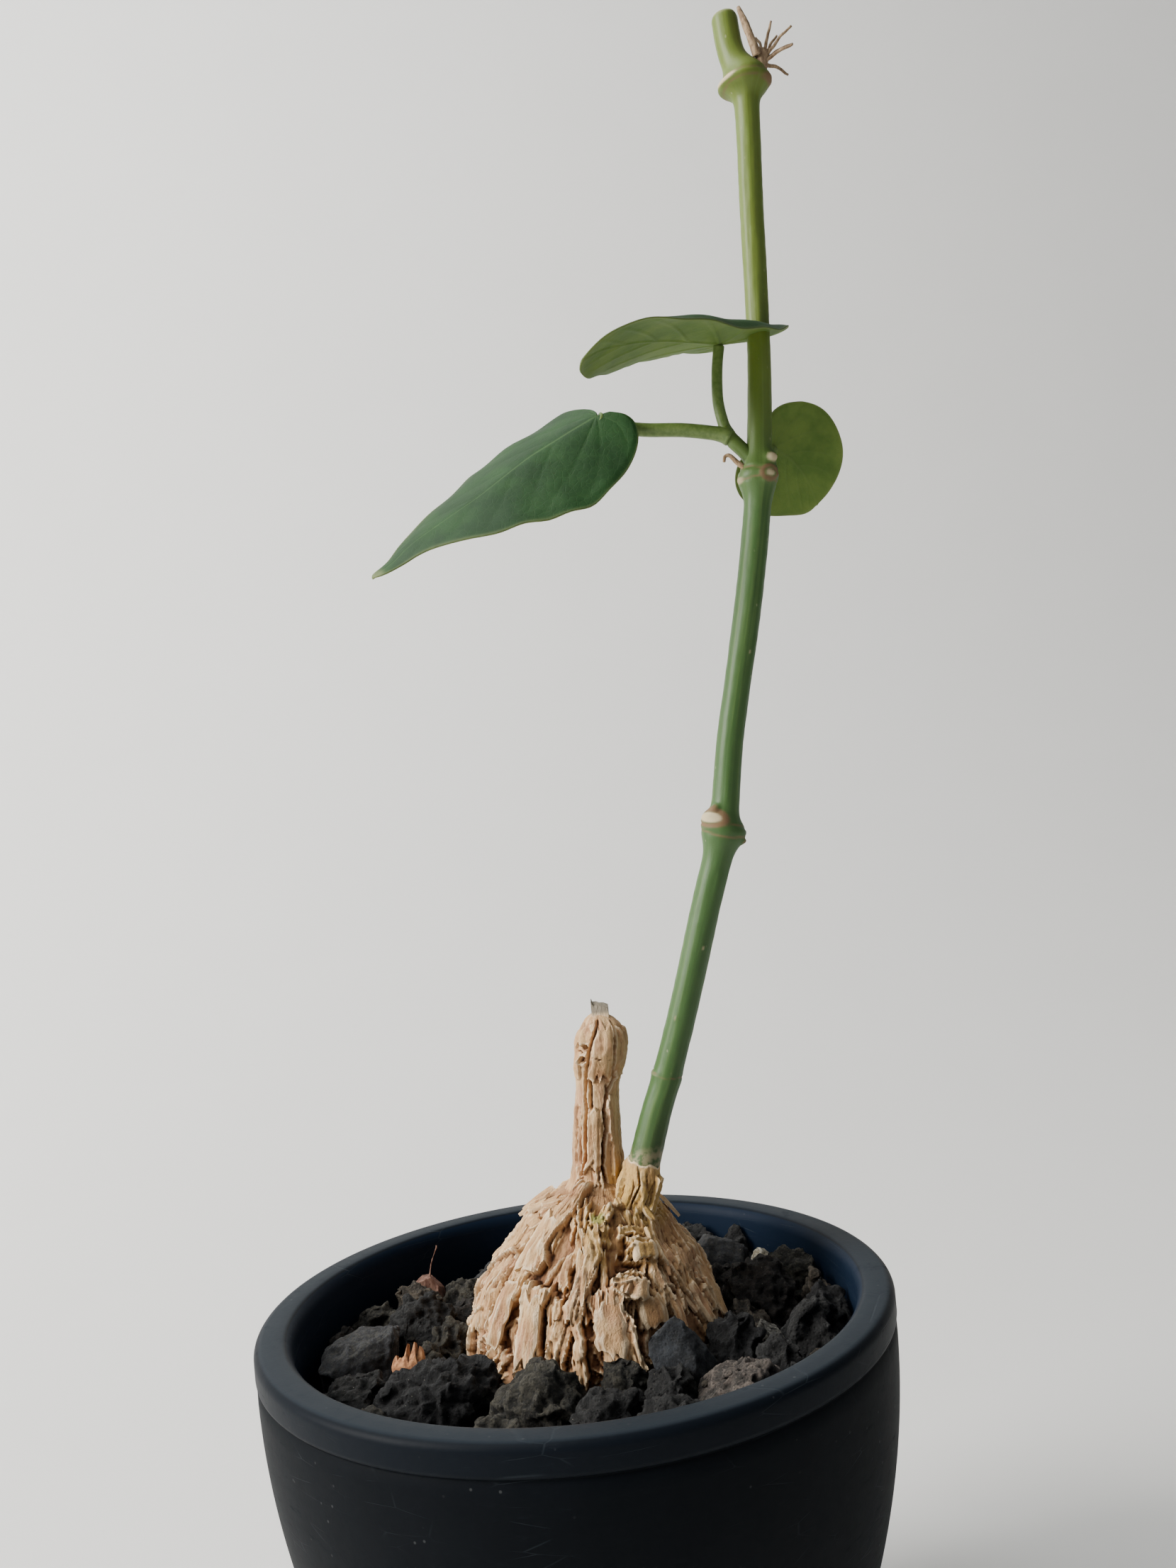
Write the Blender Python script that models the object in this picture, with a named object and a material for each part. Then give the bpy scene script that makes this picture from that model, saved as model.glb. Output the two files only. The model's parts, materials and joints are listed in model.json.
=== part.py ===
"""Potted matelea: a vine with a corky swollen foot, in a dark pot dressed with lava rock.

Lengths here are millimetres, and new_solid() turns them into Blender's metres. The origin is the middle of
the pot's flat underside and +Z is up. The plant's best side faces -Y, with +X to the viewer's right.
"""

import math
import random

import bmesh
import bpy
import numpy as np

MM = 0.001
GAP = 0.3
FACET_ANGLE = 35.0
ORGANIC_ANGLE = 50.0

# Driving dimensions
POT_HEIGHT = 92.0
RIM_RADIUS = 56.5
RIM_BAND = 4.8
LIP_INNER_RADIUS = 51.2
LIP_OUTER_RADIUS = 55.0
POT_INNER_RADIUS = 50.0
POT_FOOT_RADIUS = 31.5
POT_FLOOR = 3.0
POT_SEGMENTS = 48
DRAIN_HOLES = 5
DRAIN_HOLE_RADIUS = 3.0
DRAIN_CIRCLE_RADIUS = 20.0

MIX_TOP = 73.0
MIX_TOP_RADIUS = 49.1
STONE_FLOOR = MIX_TOP + GAP
STONE_WALL_RADIUS = 49.0
STONE_LIMIT = 48
STONE_FACETS = 10

TUBER_CENTRE_Y = 7.5
TUBER_SEGMENTS = 80
STUMP_SIDES = 24
COLLAR_SIDES = 20
STEM_SIDES = 12
LEAF_THICKNESS = 0.8
STALK_SIDES = 8

# Heights below the rim, with the outer wall's radius there: a round shoulder, then a straight taper
WALL_TOP_RADIUS = 56.3
WALL_ROUNDING = 0.00402
WALL_ROUND_START = 5.0
WALL_ROUND_END = 60.0
WALL_STATIONS = (82.0, 70.0, 60.0, 51.0, 42.0, 33.0, 24.0, 15.0, 5.4)

# Tuber outline, bottom to top: height, middle in X, radius
TUBER_OUTLINE = (
    (58.5, 3.6, 0.0),
    (60.0, 3.6, 6.6),
    (63.0, 3.6, 10.9),
    (67.0, 3.6, 15.0),
    (72.0, 3.6, 19.0),
    (76.0, 3.6, 21.5),
    (79.5, 3.6, 23.2),
    (83.0, 3.6, 23.4),
    (87.0, 3.1, 22.5),
    (93.3, 3.0, 20.0),
    (98.0, 4.0, 17.2),
    (102.0, 4.8, 14.4),
    (105.5, 5.2, 11.7),
    (107.5, 6.0, 9.0),
    (109.5, 6.3, 5.5),
    (110.8, 6.5, 0.0),
)
BURIED_RINGS = (60.0, 63.0, 67.0, 70.0, 72.6)
BARE_RINGS = (74.6, 76.6, 78.6, 80.6, 82.6, 84.6, 86.6, 88.6, 90.6, 92.6, 94.6, 96.6, 98.6, 100.6, 102.6,
              104.2, 105.8, 107.3, 108.7, 109.9)
RELIEF_FOOT = 73.5
RELIEF_FULL = 77.5
RELIEF_GAIN = 1.25
RELIEF_EDGE = 0.55
RIPPLE_DEPTHS = (0.4, 0.3)

# Ribs and plates of bark on the front: half width, height, and (degrees, height) along the middle.
# A negative height is a furrow or a pit.
BARK_PLATES = (
    (1.7, 1.7, ((-119, 108.5), (-128, 106.6), (-137, 102.4), (-139, 98.2), (-139, 94.0), (-143, 89.9))),
    (1.0, 1.1, ((-156, 106.3), (-166, 103.7), (-163, 99.4), (-163, 95.9), (-156, 92.0))),
    (2.0, 1.1, ((-124, 96.8), (-127, 92.6), (-134, 87.5))),
    (2.2, 2.0, ((-117, 95.3), (-120, 92.4), (-122, 88.1), (-125, 81.0))),
    (1.2, 1.1, ((-129, 86.0), (-136, 79.0))),
    (1.2, 2.1, ((-96, 103.9), (-97, 101.4), (-97, 98.5), (-98, 95.6), (-100, 92.7))),
    (1.3, 1.5, ((-101, 92.2), (-106, 88.5), (-110, 82.0))),
    (1.3, 1.5, ((-98, 92.1), (-97, 89.0), (-98, 82.0))),
    (0.8, 1.3, ((-105, 94.6), (-106, 91.8))),
    (2.0, 1.8, ((-86, 94.9), (-84, 92.3), (-82, 88.6), (-81, 82.0))),
    (1.0, 1.3, ((-72, 93.0), (-74, 89.7), (-77, 84.0))),
    (1.5, 3.0, ((-76, 95.8), (-67, 94.7), (-58, 95.1))),
    (1.5, 1.8, ((-66, 100.3), (-59, 98.9))),
    (2.0, -0.8, ((-74, 98.4), (-61, 97.2))),
    (1.1, 1.5, ((-50, 99.6), (-53, 96.6), (-49, 93.3))),
    (3.0, 1.4, ((-56, 92.3), (-60, 88.8))),
    (2.6, 0.6, ((-59, 87.5), (-64, 83.0))),
    (1.1, 1.5, ((-26, 103.0), (-27, 98.3), (-26, 92.8), (-27, 87.0))),
    (1.3, 1.6, ((-15, 101.3), (-11, 94.1), (-8, 87.8), (0, 83.9))),
    (1.0, 1.3, ((-42, 99.6), (-40, 94.4), (-40, 90.3), (-38, 85.0))),
    (0.9, 1.1, ((-47, 92.3), (-44, 89.1), (-45, 84.0))),
    (0.8, 1.0, ((-71, 89.0), (-75, 84.0))),
    (1.8, 1.2, ((-88, 101.8), (-87, 98.4), (-89, 95.9))),
    (0.7, -1.4, ((-112, 106.7), (-106, 102.5), (-103, 98.6))),
    (0.5, -0.8, ((-81, 102.1), (-81, 97.2))),
    (1.2, 1.1, ((177, 98.5), (-167, 94.4), (-158, 89.4))),
    (1.2, 1.0, ((-159, 89.4), (-150, 84.0), (-146, 79.5))),
)
REAR_RIB_SEED = 7
REAR_RIBS = 17

# Dead stump beside the living stem: height, middle in X, half width
STUMP_OUTLINE = (
    (103.0, 4.6, 6.2),
    (107.0, 5.2, 5.7),
    (110.0, 5.8, 5.0),
    (113.5, 6.2, 4.8),
    (117.5, 6.4, 4.6),
    (122.0, 6.9, 4.3),
    (125.5, 7.2, 4.1),
    (128.5, 7.5, 4.15),
    (130.5, 7.9, 4.6),
    (132.5, 8.3, 4.95),
    (134.5, 8.5, 4.9),
    (136.3, 8.7, 4.5),
    (138.0, 8.7, 3.4),
    (139.5, 8.5, 2.3),
    (141.0, 8.3, 1.4),
)
STUMP_TIP = (8.2, 142.3)
STUMP_Y = 8.6
STUMP_FLUTES = 7
STUMP_FLUTE_DEPTH = 0.7
STUMP_STEP = 2.0
STUMP_CALM_ABOVE = 140.0

# Corky collar at the foot of the living stem: middle in X, height, radius, then the cut that the stem meets
COLLAR_OUTLINE = (
    (9.0, 98.0, 5.6),
    (10.6, 101.5, 5.3),
    (12.0, 105.0, 4.5),
    (12.9, 107.4, 4.35),
    (13.7, 109.6, 3.9),
    (14.4, 111.4, 3.3),
    (14.75, 112.3, 3.05),
)
COLLAR_Y = 4.0
COLLAR_CREASES = 8
COLLAR_CREASE_DEPTH = 0.3
COLLAR_CALM_ABOVE = 111.8

# Living stem: (X, Y, height) along its middle, then its radius by height, then its swellings
STEM_ROUTE = (
    (14.9, 4.0, 112.75),
    (17.9, 4.1, 121.5),
    (20.4, 4.2, 127.8),
    (24.7, 4.3, 140.0),
    (30.3, 4.5, 157.5),
    (35.0, 4.6, 172.0),
    (38.2, 4.7, 189.3),
    (43.7, 4.9, 213.0),
    (46.9, 5.0, 229.0),
    (48.6, 5.0, 240.5),
    (50.6, 5.0, 261.4),
    (52.0, 5.0, 291.0),
    (52.9, 5.0, 308.0),
    (52.8, 5.0, 314.5),
    (50.9, 5.0, 320.5),
    (50.2, 5.0, 327.6),
)
STEM_RADIUS = (
    (112.0, 2.95), (122.0, 2.8), (134.0, 2.65), (150.0, 2.7), (163.0, 2.75), (178.0, 2.6), (190.0, 2.5),
    (229.0, 2.6), (243.0, 2.4), (261.0, 2.2), (300.0, 2.3), (309.0, 2.4), (316.0, 2.55), (329.0, 2.5),
)
# Height, all-round swelling, reach below, reach above
STEM_NODES = (
    (127.6, 0.18, 1.2, 1.2),
    (172.2, 1.35, 3.4, 2.0),
    (238.0, 1.05, 3.4, 3.0),
    (313.9, 2.35, 2.1, 3.0),
)
# Height, direction in degrees, extra swelling, reach along the stem, reach round it in degrees
STEM_BUMPS = (
    (171.6, 0.0, 0.55, 1.8, 50.0),
    (174.4, 205.0, 1.1, 1.4, 40.0),
    (237.2, 180.0, 0.55, 2.2, 50.0),
    (238.6, -50.0, 0.65, 1.6, 40.0),
    (241.4, -48.0, 1.0, 1.3, 26.0),
    (314.2, 180.0, 0.35, 1.6, 40.0),
    (313.2, 0.0, 0.35, 1.2, 40.0),
)
STEM_LENGTH = 222.0
STEM_STEP = 4.0
STEM_NODE_STEP = 1.5
STEM_NODE_REACH = 7.0

# Short green shoot in the fork of the third node
SHOOT_ROUTE = ((48.4, 5.0, 239.8), (46.0, 5.0, 243.1), (43.9, 5.0, 245.6), (42.7, 5.0, 247.9))
SHOOT_RADII = (1.7, 1.35, 1.4, 1.2)

# Half outline of a blade, from the notch to the tip: along the midrib, then across it, as shares
POINTED_BLADE = (
    (-0.055, 0.06), (-0.10, 0.19), (-0.122, 0.35), (-0.112, 0.54), (-0.065, 0.72), (0.02, 0.88),
    (0.13, 0.975), (0.245, 0.97), (0.355, 0.865), (0.465, 0.71), (0.575, 0.61), (0.69, 0.45), (0.80, 0.265),
    (0.90, 0.107), (1.0, 0.0),
)
ROUND_BLADE = (
    (-0.10, 0.06), (-0.20, 0.17), (-0.27, 0.36), (-0.26, 0.58), (-0.17, 0.79), (-0.02, 0.94),
    (0.16, 1.0), (0.34, 0.97), (0.51, 0.86), (0.66, 0.70), (0.79, 0.51), (0.90, 0.30), (0.965, 0.14),
    (1.0, 0.0),
)
BLADE_RINGS = 5
FOLD_SOFTNESS = 1.3
BLADE_WAVE = 0.35

# Each leaf: midrib in (X, Y, height), half width, the directions in which its near and far halves leave the
# midrib at its foot and at its tip, how much of its lobe the far half has, how far each margin curls down,
# and the route of its stalk
LEAVES = {
    "leaf_lower": {
        "outline": POINTED_BLADE,
        "midrib": ((18.8, 4.0, 252.0), (5.6, 3.0, 245.0), (-4.2, 1.5, 238.2), (-16.6, 1.0, 230.8),
                   (-21.4, 0.5, 226.9), (-25.6, 0.0, 224.4)),
        "half_width": 17.8,
        "near": ((0.195, -0.27, -0.945), (0.654, -0.60, -0.309)),
        "far": ((-0.531, 0.90, 0.378), (-0.651, 0.84, 0.232)),
        "far_lobe": 0.2,
        "curl": (-1.0, 1.9),
        "stalk": ((41.6, 5.0, 246.9), (35.0, 5.2, 248.3), (27.4, 5.6, 249.2), (21.6, 5.4, 250.5),
                  (18.9, 4.3, 251.7)),
        "stalk_radius": 1.15,
        "colour": (0.045, 0.11, 0.04),
    },
    "leaf_upper": {
        "outline": ROUND_BLADE,
        "midrib": ((43.2, 4.6, 264.2), (33.7, -3.0, 261.6), (26.8, -9.0, 259.2), (20.1, -15.0, 256.6),
                   (16.2, -19.5, 254.0)),
        "half_width": 14.0,
        "near": ((0.68, -0.72, 0.08), (0.30, -0.94, 0.10)),
        "far": ((-0.70, 0.71, 0.15), (-0.60, 0.70, -0.62)),
        "far_lobe": 0.5,
        "curl": (2.6, 0.6),
        "stalk": ((42.65, 5.0, 248.6), (42.0, 5.0, 253.0), (42.3, 5.0, 258.5), (43.1, 4.9, 263.6)),
        "stalk_radius": 0.95,
        "colour": (0.06, 0.14, 0.045),
    },
    "leaf_rear": {
        "outline": ROUND_BLADE,
        "midrib": ((52.6, 11.5, 245.3), (56.6, 15.0, 243.6), (60.2, 18.4, 240.0), (62.2, 21.0, 235.6)),
        "half_width": 11.6,
        "near": ((0.60, -0.12, 0.79), (0.92, -0.36, 0.0)),
        "far": ((-0.62, 0.40, -0.68), (-0.16, 0.56, -0.80)),
        "far_lobe": 1.0,
        "curl": (0.6, 0.8),
        "stalk": ((49.6, 7.6, 239.2), (51.2, 10.0, 242.0), (52.5, 11.3, 244.9)),
        "stalk_radius": 0.95,
        "colour": (0.10, 0.15, 0.045),
    },
}

# Remains of the flower stalk: (X, Y, height) of the strands' ends, which start at one tan stub
STUB_ROUTE = ((54.6, 4.6, 313.5), (56.2, 4.2, 317.0), (56.9, 4.0, 319.6))
STUB_RADII = (1.2, 1.5, 1.1)
STRANDS = (
    ((57.8, 3.4, 321.6), (58.9, 3.2, 324.6)),
    ((58.6, 4.6, 320.9), (60.0, 5.2, 322.9)),
    ((59.2, 3.2, 320.3), (62.6, 2.4, 322.9)),
    ((59.8, 4.4, 319.5), (62.9, 4.8, 320.9)),
    ((59.4, 2.8, 318.3), (62.2, 1.8, 318.9)),
    ((59.4, 5.2, 316.9), (61.6, 6.2, 315.6)),
    ((56.8, 5.4, 321.4), (56.2, 6.4, 323.6)),
)
STRAND_RADIUS = 0.38
SHEATH_ROUTE = ((55.6, 3.2, 318.2), (54.4, 2.2, 321.4), (53.4, 2.0, 324.6), (52.7, 2.4, 327.4))
SHEATH_RADII = (0.9, 0.75, 0.7, 0.4)

# Stones that the photo shows: kind, X, Y, radius, top above (+) or below (-) the rim
STONES = (
    ("slate", -40.5, 2.0, 7.6, -3.0),
    ("brown", -45.4, 12.0, 3.8, -6.0),
    ("olive", -39.6, 19.5, 5.0, -5.0),
    ("tan", -32.6, 22.5, 5.8, -2.0),
    ("charcoal", -30.5, 12.0, 6.6, -1.5),
    ("olive", -24.0, 29.5, 5.2, -4.5),
    ("slate", -17.5, 36.0, 5.2, -4.0),
    ("olive", -23.8, 6.5, 4.6, -4.0),
    ("olive", -26.6, -1.6, 3.6, -5.0),
    ("charcoal", -20.5, -6.0, 3.2, -6.0),
    ("white", -30.6, -4.6, 2.6, -6.0),
    ("charcoal", -38.6, -13.6, 6.8, -4.0),
    ("black", -23.6, -20.0, 10.2, -2.0),
    ("olive", -13.2, -33.0, 5.6, -5.0),
    ("olive", -5.6, -25.4, 8.6, -1.5),
    ("charcoal", 4.6, -31.0, 6.4, -3.0),
    ("olive", 7.6, -20.6, 4.6, -3.0),
    ("charcoal", 15.4, -23.6, 5.2, -3.0),
    ("charcoal", 13.6, -34.4, 6.2, -4.0),
    ("blue", 19.4, -14.6, 5.4, -0.5),
    ("black", 27.2, -8.0, 6.0, -1.0),
    ("tan", 30.4, 1.4, 4.2, -3.0),
    ("pink", 25.6, -25.4, 8.0, -2.0),
    ("charcoal", 34.4, -16.4, 4.6, -4.0),
    ("pale", 34.6, -5.4, 3.6, -3.0),
    ("charcoal", 40.6, -4.0, 5.4, -2.0),
    ("black", 45.2, 2.4, 4.6, -2.5),
    ("tan", 46.0, 10.0, 3.2, -2.0),
    ("tan", 41.4, -16.2, 4.4, -4.0),
    ("charcoal", 37.0, -23.0, 3.6, -5.0),
    ("olive", 41.2, 18.6, 6.0, -1.0),
    ("cream", 37.8, 27.0, 2.9, -2.5),
    ("brown", 33.4, 11.4, 7.6, 0.0),
    ("brown", 28.0, 20.6, 4.4, -2.0),
    ("slate", 28.6, 29.2, 6.0, -1.0),
    ("charcoal", 32.4, 36.6, 4.4, -1.0),
    ("charcoal", 22.4, 38.6, 6.0, 1.0),
    ("slate", 13.2, 43.0, 5.2, -1.0),
)
STONE_COLOURS = {
    "charcoal": (0.045, 0.045, 0.043), "black": (0.022, 0.024, 0.026), "olive": (0.085, 0.08, 0.062),
    "brown": (0.05, 0.042, 0.038), "tan": (0.17, 0.14, 0.10), "slate": (0.085, 0.09, 0.095),
    "blue": (0.07, 0.08, 0.095), "pink": (0.24, 0.20, 0.17), "pale": (0.34, 0.33, 0.30),
    "white": (0.62, 0.60, 0.54), "cream": (0.58, 0.52, 0.38),
}
FILLER_KINDS = ("charcoal", "olive", "brown", "slate")
FILLER_RADII = (6.4, 5.2, 4.4)
FILLER_TRIES = 700
FILLER_CROWDING = 0.86
FILLER_TOPS = (-6.0, -3.5)
FILLER_SEED = 21
# Dry bits that lie among the stones: X, Y, radius of the seat, top below the rim
BARK_CHIP_SEAT = (-31.6, -11.6, 3.8, -3.0)
TWIG_SEAT = (-31.4, 31.2, 3.6, -4.0)
BRACT_SEAT = (16.6, 34.6, 2.7, -2.5)


def smoothstep(value):
    value = np.clip(value, 0.0, 1.0)
    return value * value * (3.0 - 2.0 * value)


def table(rows, where, column):
    """Reads one column of a table at a height, with straight runs between its rows."""
    return np.interp(where, [row[0] for row in rows], [row[column] for row in rows])


def smooth_route(points, count):
    """Points spaced along a Catmull-Rom curve through the given ones."""
    knots = np.array(points, dtype=float)
    knots = np.vstack([2 * knots[0] - knots[1], knots, 2 * knots[-1] - knots[-2]])
    fine = []
    for a, b, c, d in zip(knots[:-3], knots[1:-2], knots[2:-1], knots[3:]):
        for step in np.linspace(0.0, 1.0, 24, endpoint=False):
            fine.append(0.5 * (2 * b + (c - a) * step + (2 * a - 5 * b + 4 * c - d) * step ** 2
                               + (3 * b - a - 3 * c + d) * step ** 3))
    fine = np.array(fine + [knots[-2]])
    lengths = np.concatenate([[0.0], np.cumsum(np.linalg.norm(np.diff(fine, axis=0), axis=1))])
    stations = np.linspace(0.0, lengths[-1], count) if np.isscalar(count) else np.array(count) * lengths[-1]
    return np.array([[np.interp(s, lengths, fine[:, axis]) for axis in range(3)] for s in stations])


def new_material(name, colour, roughness, metallic=0.0):
    material = bpy.data.materials.new(name)
    material.use_nodes = True
    shader = material.node_tree.nodes["Principled BSDF"]
    shader.inputs["Base Color"].default_value = (*colour, 1.0)
    shader.inputs["Roughness"].default_value = roughness
    shader.inputs["Metallic"].default_value = metallic
    return material


def new_solid(name, points, faces, colour=(0.5, 0.5, 0.5), roughness=0.7, smooth=True):
    """Makes one closed object from points in millimetres, with its faces turned outward."""
    mesh = bpy.data.meshes.new(name)
    mesh.from_pydata([tuple(float(c) * MM for c in point) for point in points], [], faces)
    shell = bmesh.new()
    shell.from_mesh(mesh)
    bmesh.ops.recalc_face_normals(shell, faces=shell.faces)
    shell.to_mesh(mesh)
    shell.free()
    solid = bpy.data.objects.new(name, mesh)
    bpy.context.scene.collection.objects.link(solid)
    mesh.materials.append(new_material(name, colour, roughness))
    if smooth:
        mesh.shade_smooth()
        mesh.set_sharp_from_angle(angle=math.radians(FACET_ANGLE))
    return solid


def skin(rings, start, end):
    """Joins rings of equal size in one closed skin that ends in two middle points."""
    size = len(rings[0])
    points = [point for ring in rings for point in ring] + [start, end]
    faces = []
    for row in range(len(rings) - 1):
        for i in range(size):
            a = row * size + i
            b = row * size + (i + 1) % size
            faces.append((a, b, b + size))
            faces.append((a, b + size, a + size))
    last = (len(rings) - 1) * size
    for i in range(size):
        j = (i + 1) % size
        faces.append((j, i, len(points) - 2))
        faces.append((last + i, last + j, len(points) - 1))
    return points, faces


def ring(middle_x, middle_y, height, radii, angles):
    return np.column_stack([middle_x + radii * np.cos(angles), middle_y + radii * np.sin(angles),
                            np.full(len(angles), height)])


def turned(profile, segments):
    """Turns a profile of (radius, height), from the axis back to the axis, about the pot's middle."""
    angles = np.linspace(0.0, 2 * math.pi, segments, endpoint=False)
    rings = [ring(0.0, 0.0, height, np.full(segments, radius), angles) for radius, height in profile[1:-1]]
    return skin(rings, (0.0, 0.0, profile[0][1]), (0.0, 0.0, profile[-1][1]))


def sweep(route, radii, sides):
    """A round tube along a route; radii holds a number or one value for each side at each point."""
    tangents = np.gradient(np.array(route), axis=0)
    tangents /= np.linalg.norm(tangents, axis=1)[:, None]
    angles = np.linspace(0.0, 2 * math.pi, sides, endpoint=False)
    rings = []
    for middle, along, radius in zip(route, tangents, radii):
        back = np.array([0.0, 1.0, 0.0]) if abs(along[1]) < 0.9 else np.array([0.0, 0.0, 1.0])
        back = back - along * np.dot(along, back)
        back /= np.linalg.norm(back)
        right = np.cross(back, along)
        rings.append(middle + np.outer(radius * np.cos(angles), right) + np.outer(radius * np.sin(angles), back))
    return skin(rings, route[0], route[-1])


def apply_modifiers(solid):
    graph = bpy.context.evaluated_depsgraph_get()
    mesh = bpy.data.meshes.new_from_object(solid.evaluated_get(graph))
    solid.modifiers.clear()
    solid.data = mesh


def boolean(solid, operation, others):
    """Joins other solids to this one, or cuts them from it, and removes them."""
    group = bpy.data.collections.new(solid.name + "_" + operation.lower())
    bpy.context.scene.collection.children.link(group)
    for other in others:
        bpy.context.scene.collection.objects.unlink(other)
        group.objects.link(other)
    modifier = solid.modifiers.new(operation.title(), "BOOLEAN")
    modifier.operation = operation
    modifier.operand_type = "COLLECTION"
    modifier.collection = group
    apply_modifiers(solid)
    for other in others:
        bpy.data.objects.remove(other)
    bpy.data.collections.remove(group)


def wall_radius(depth):
    """The pot's outer radius at a depth below its rim."""
    round_part = min(depth, WALL_ROUND_END)
    radius = WALL_TOP_RADIUS - WALL_ROUNDING * (round_part - WALL_ROUND_START) ** 2
    share = max(depth - WALL_ROUND_END, 0.0) / (POT_HEIGHT - WALL_ROUND_END)
    return radius + (POT_FOOT_RADIUS - radius) * share


def pot_inside():
    """The pot's inner wall, from the lip down: radius, height."""
    return ((POT_INNER_RADIUS, POT_HEIGHT - 1.2), (49.4, POT_HEIGHT - 22.0), (46.0, POT_HEIGHT - 45.0),
            (40.5, POT_HEIGHT - 60.0), (28.3, POT_FLOOR))


def make_pot():
    profile = [(0.0, 0.0), (POT_FOOT_RADIUS - 1.5, 0.0), (POT_FOOT_RADIUS + 0.2, 1.5)]
    profile += [(wall_radius(depth), POT_HEIGHT - depth) for depth in WALL_STATIONS]
    profile += [(RIM_RADIUS, POT_HEIGHT - RIM_BAND), (RIM_RADIUS, POT_HEIGHT - 1.7)]
    profile += [(RIM_RADIUS - 0.35, POT_HEIGHT - 0.75), (RIM_RADIUS - 0.9, POT_HEIGHT - 0.2)]
    profile += [(LIP_OUTER_RADIUS, POT_HEIGHT), (LIP_INNER_RADIUS, POT_HEIGHT)]
    profile += list(pot_inside()) + [(0.0, POT_FLOOR)]
    points, faces = turned(profile, POT_SEGMENTS)
    pot = new_solid("pot", points, faces, (0.035, 0.042, 0.052), 0.45)
    drills = []
    for number in range(DRAIN_HOLES):
        turn = 2 * math.pi * (number + 0.5) / DRAIN_HOLES
        middle = np.array([math.cos(turn), math.sin(turn), 0.0]) * DRAIN_CIRCLE_RADIUS
        route = [middle + (0.0, 0.0, height) for height in (-2.0, POT_FLOOR + 2.0)]
        points, faces = sweep(route, [DRAIN_HOLE_RADIUS] * 2, 12)
        drills.append(new_solid("drill", points, faces))
    boolean(pot, "DIFFERENCE", drills)
    return pot


def tuber_angles():
    return np.linspace(0.0, 2 * math.pi, TUBER_SEGMENTS, endpoint=False)


def tuber_ring(height, grow=0.0):
    radius = table(TUBER_OUTLINE, height, 2) + grow
    angles = tuber_angles()
    return ring(table(TUBER_OUTLINE, height, 1), TUBER_CENTRE_Y, height, np.full(len(angles), radius), angles)


def make_potting_mix():
    angles = tuber_angles()
    floor = POT_FLOOR + GAP
    wall = [(radius - GAP, height) for radius, height in pot_inside() if height < MIX_TOP]
    rings = []
    for radius, height in [(wall[-1][0], floor)] + wall[-2::-1] + [(MIX_TOP_RADIUS, MIX_TOP)]:
        rings.append(ring(0.0, 0.0, height, np.full(len(angles), radius - 0.1), angles))
    rings.append(tuber_ring(MIX_TOP, GAP + 0.1))
    for height in reversed(BURIED_RINGS):
        hollow = tuber_ring(height, GAP)
        hollow[:, 2] -= GAP
        rings.append(hollow)
    pit_foot = (TUBER_OUTLINE[0][1], TUBER_CENTRE_Y, TUBER_OUTLINE[0][0] - GAP)
    points, faces = skin(rings, (0.0, 0.0, floor), pit_foot)
    return new_solid("potting_mix", points, faces, (0.03, 0.022, 0.016), 0.95)


def rear_ribs():
    """Ribs on the side that the photo doesn't show, in the manner of the front's."""
    draw = random.Random(REAR_RIB_SEED)
    ribs = []
    for number in range(REAR_RIBS):
        turn = 12.0 + 158.0 * (number + 0.5) / REAR_RIBS
        top = draw.uniform(97.0, 105.0)
        foot = draw.uniform(78.0, 90.0)
        lean = draw.uniform(-9.0, 9.0)
        route = [(turn, top), (turn + 0.5 * lean, 0.5 * (top + foot)), (turn + lean, foot)]
        ribs.append((draw.uniform(0.9, 1.9), draw.uniform(0.9, 1.8), route))
    return ribs


def tuber_point(degrees, height):
    radius = table(TUBER_OUTLINE, height, 2)
    turn = math.radians(degrees)
    return np.array([table(TUBER_OUTLINE, height, 1) + radius * math.cos(turn),
                     TUBER_CENTRE_Y + radius * math.sin(turn), height])


def bark_relief(points, edge):
    """How far the bark stands out at each point of the smooth tuber."""
    raised = np.zeros(len(points))
    sunk = np.zeros(len(points))
    for half_width, height, route in list(BARK_PLATES) + rear_ribs():
        stations = [tuber_point(*station) for station in route]
        distance = np.full(len(points), 1e9)
        for start, end in zip(stations[:-1], stations[1:]):
            along = end - start
            share = np.clip((points - start) @ along / (along @ along), 0.0, 1.0)
            distance = np.minimum(distance, np.linalg.norm(points - start - share[:, None] * along, axis=1))
        form = RELIEF_GAIN * height * smoothstep((half_width + edge - distance) / (2 * edge))
        raised = np.maximum(raised, form)
        sunk = np.minimum(sunk, form)
    return raised + sunk


def make_tuber():
    rings = [tuber_ring(height) for height in BURIED_RINGS]
    angles = tuber_angles()
    for height in BARE_RINGS:
        plain = tuber_ring(height)
        rise = 1.0
        slope = (table(TUBER_OUTLINE, height + rise, 2) - table(TUBER_OUTLINE, height - rise, 2)) / (2 * rise)
        out = np.column_stack([np.cos(angles), np.sin(angles), np.full(len(angles), -slope)])
        out /= np.linalg.norm(out, axis=1)[:, None]
        shown = smoothstep((height - RELIEF_FOOT) / (RELIEF_FULL - RELIEF_FOOT))
        ripple = RIPPLE_DEPTHS[0] * np.sin(23 * angles + 0.25 * height)
        ripple += RIPPLE_DEPTHS[1] * (np.sin(37 * angles - 0.4 * height) - 1.0)
        relief = shown * (bark_relief(plain, RELIEF_EDGE) + ripple)
        rings.append(plain + out * relief[:, None])
    foot = (TUBER_OUTLINE[0][1], TUBER_CENTRE_Y, TUBER_OUTLINE[0][0])
    top = (TUBER_OUTLINE[-1][1], TUBER_CENTRE_Y, TUBER_OUTLINE[-1][0])
    points, faces = skin(rings, foot, top)
    return new_solid("caudex", points, faces, (0.52, 0.38, 0.24), 0.85)


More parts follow.
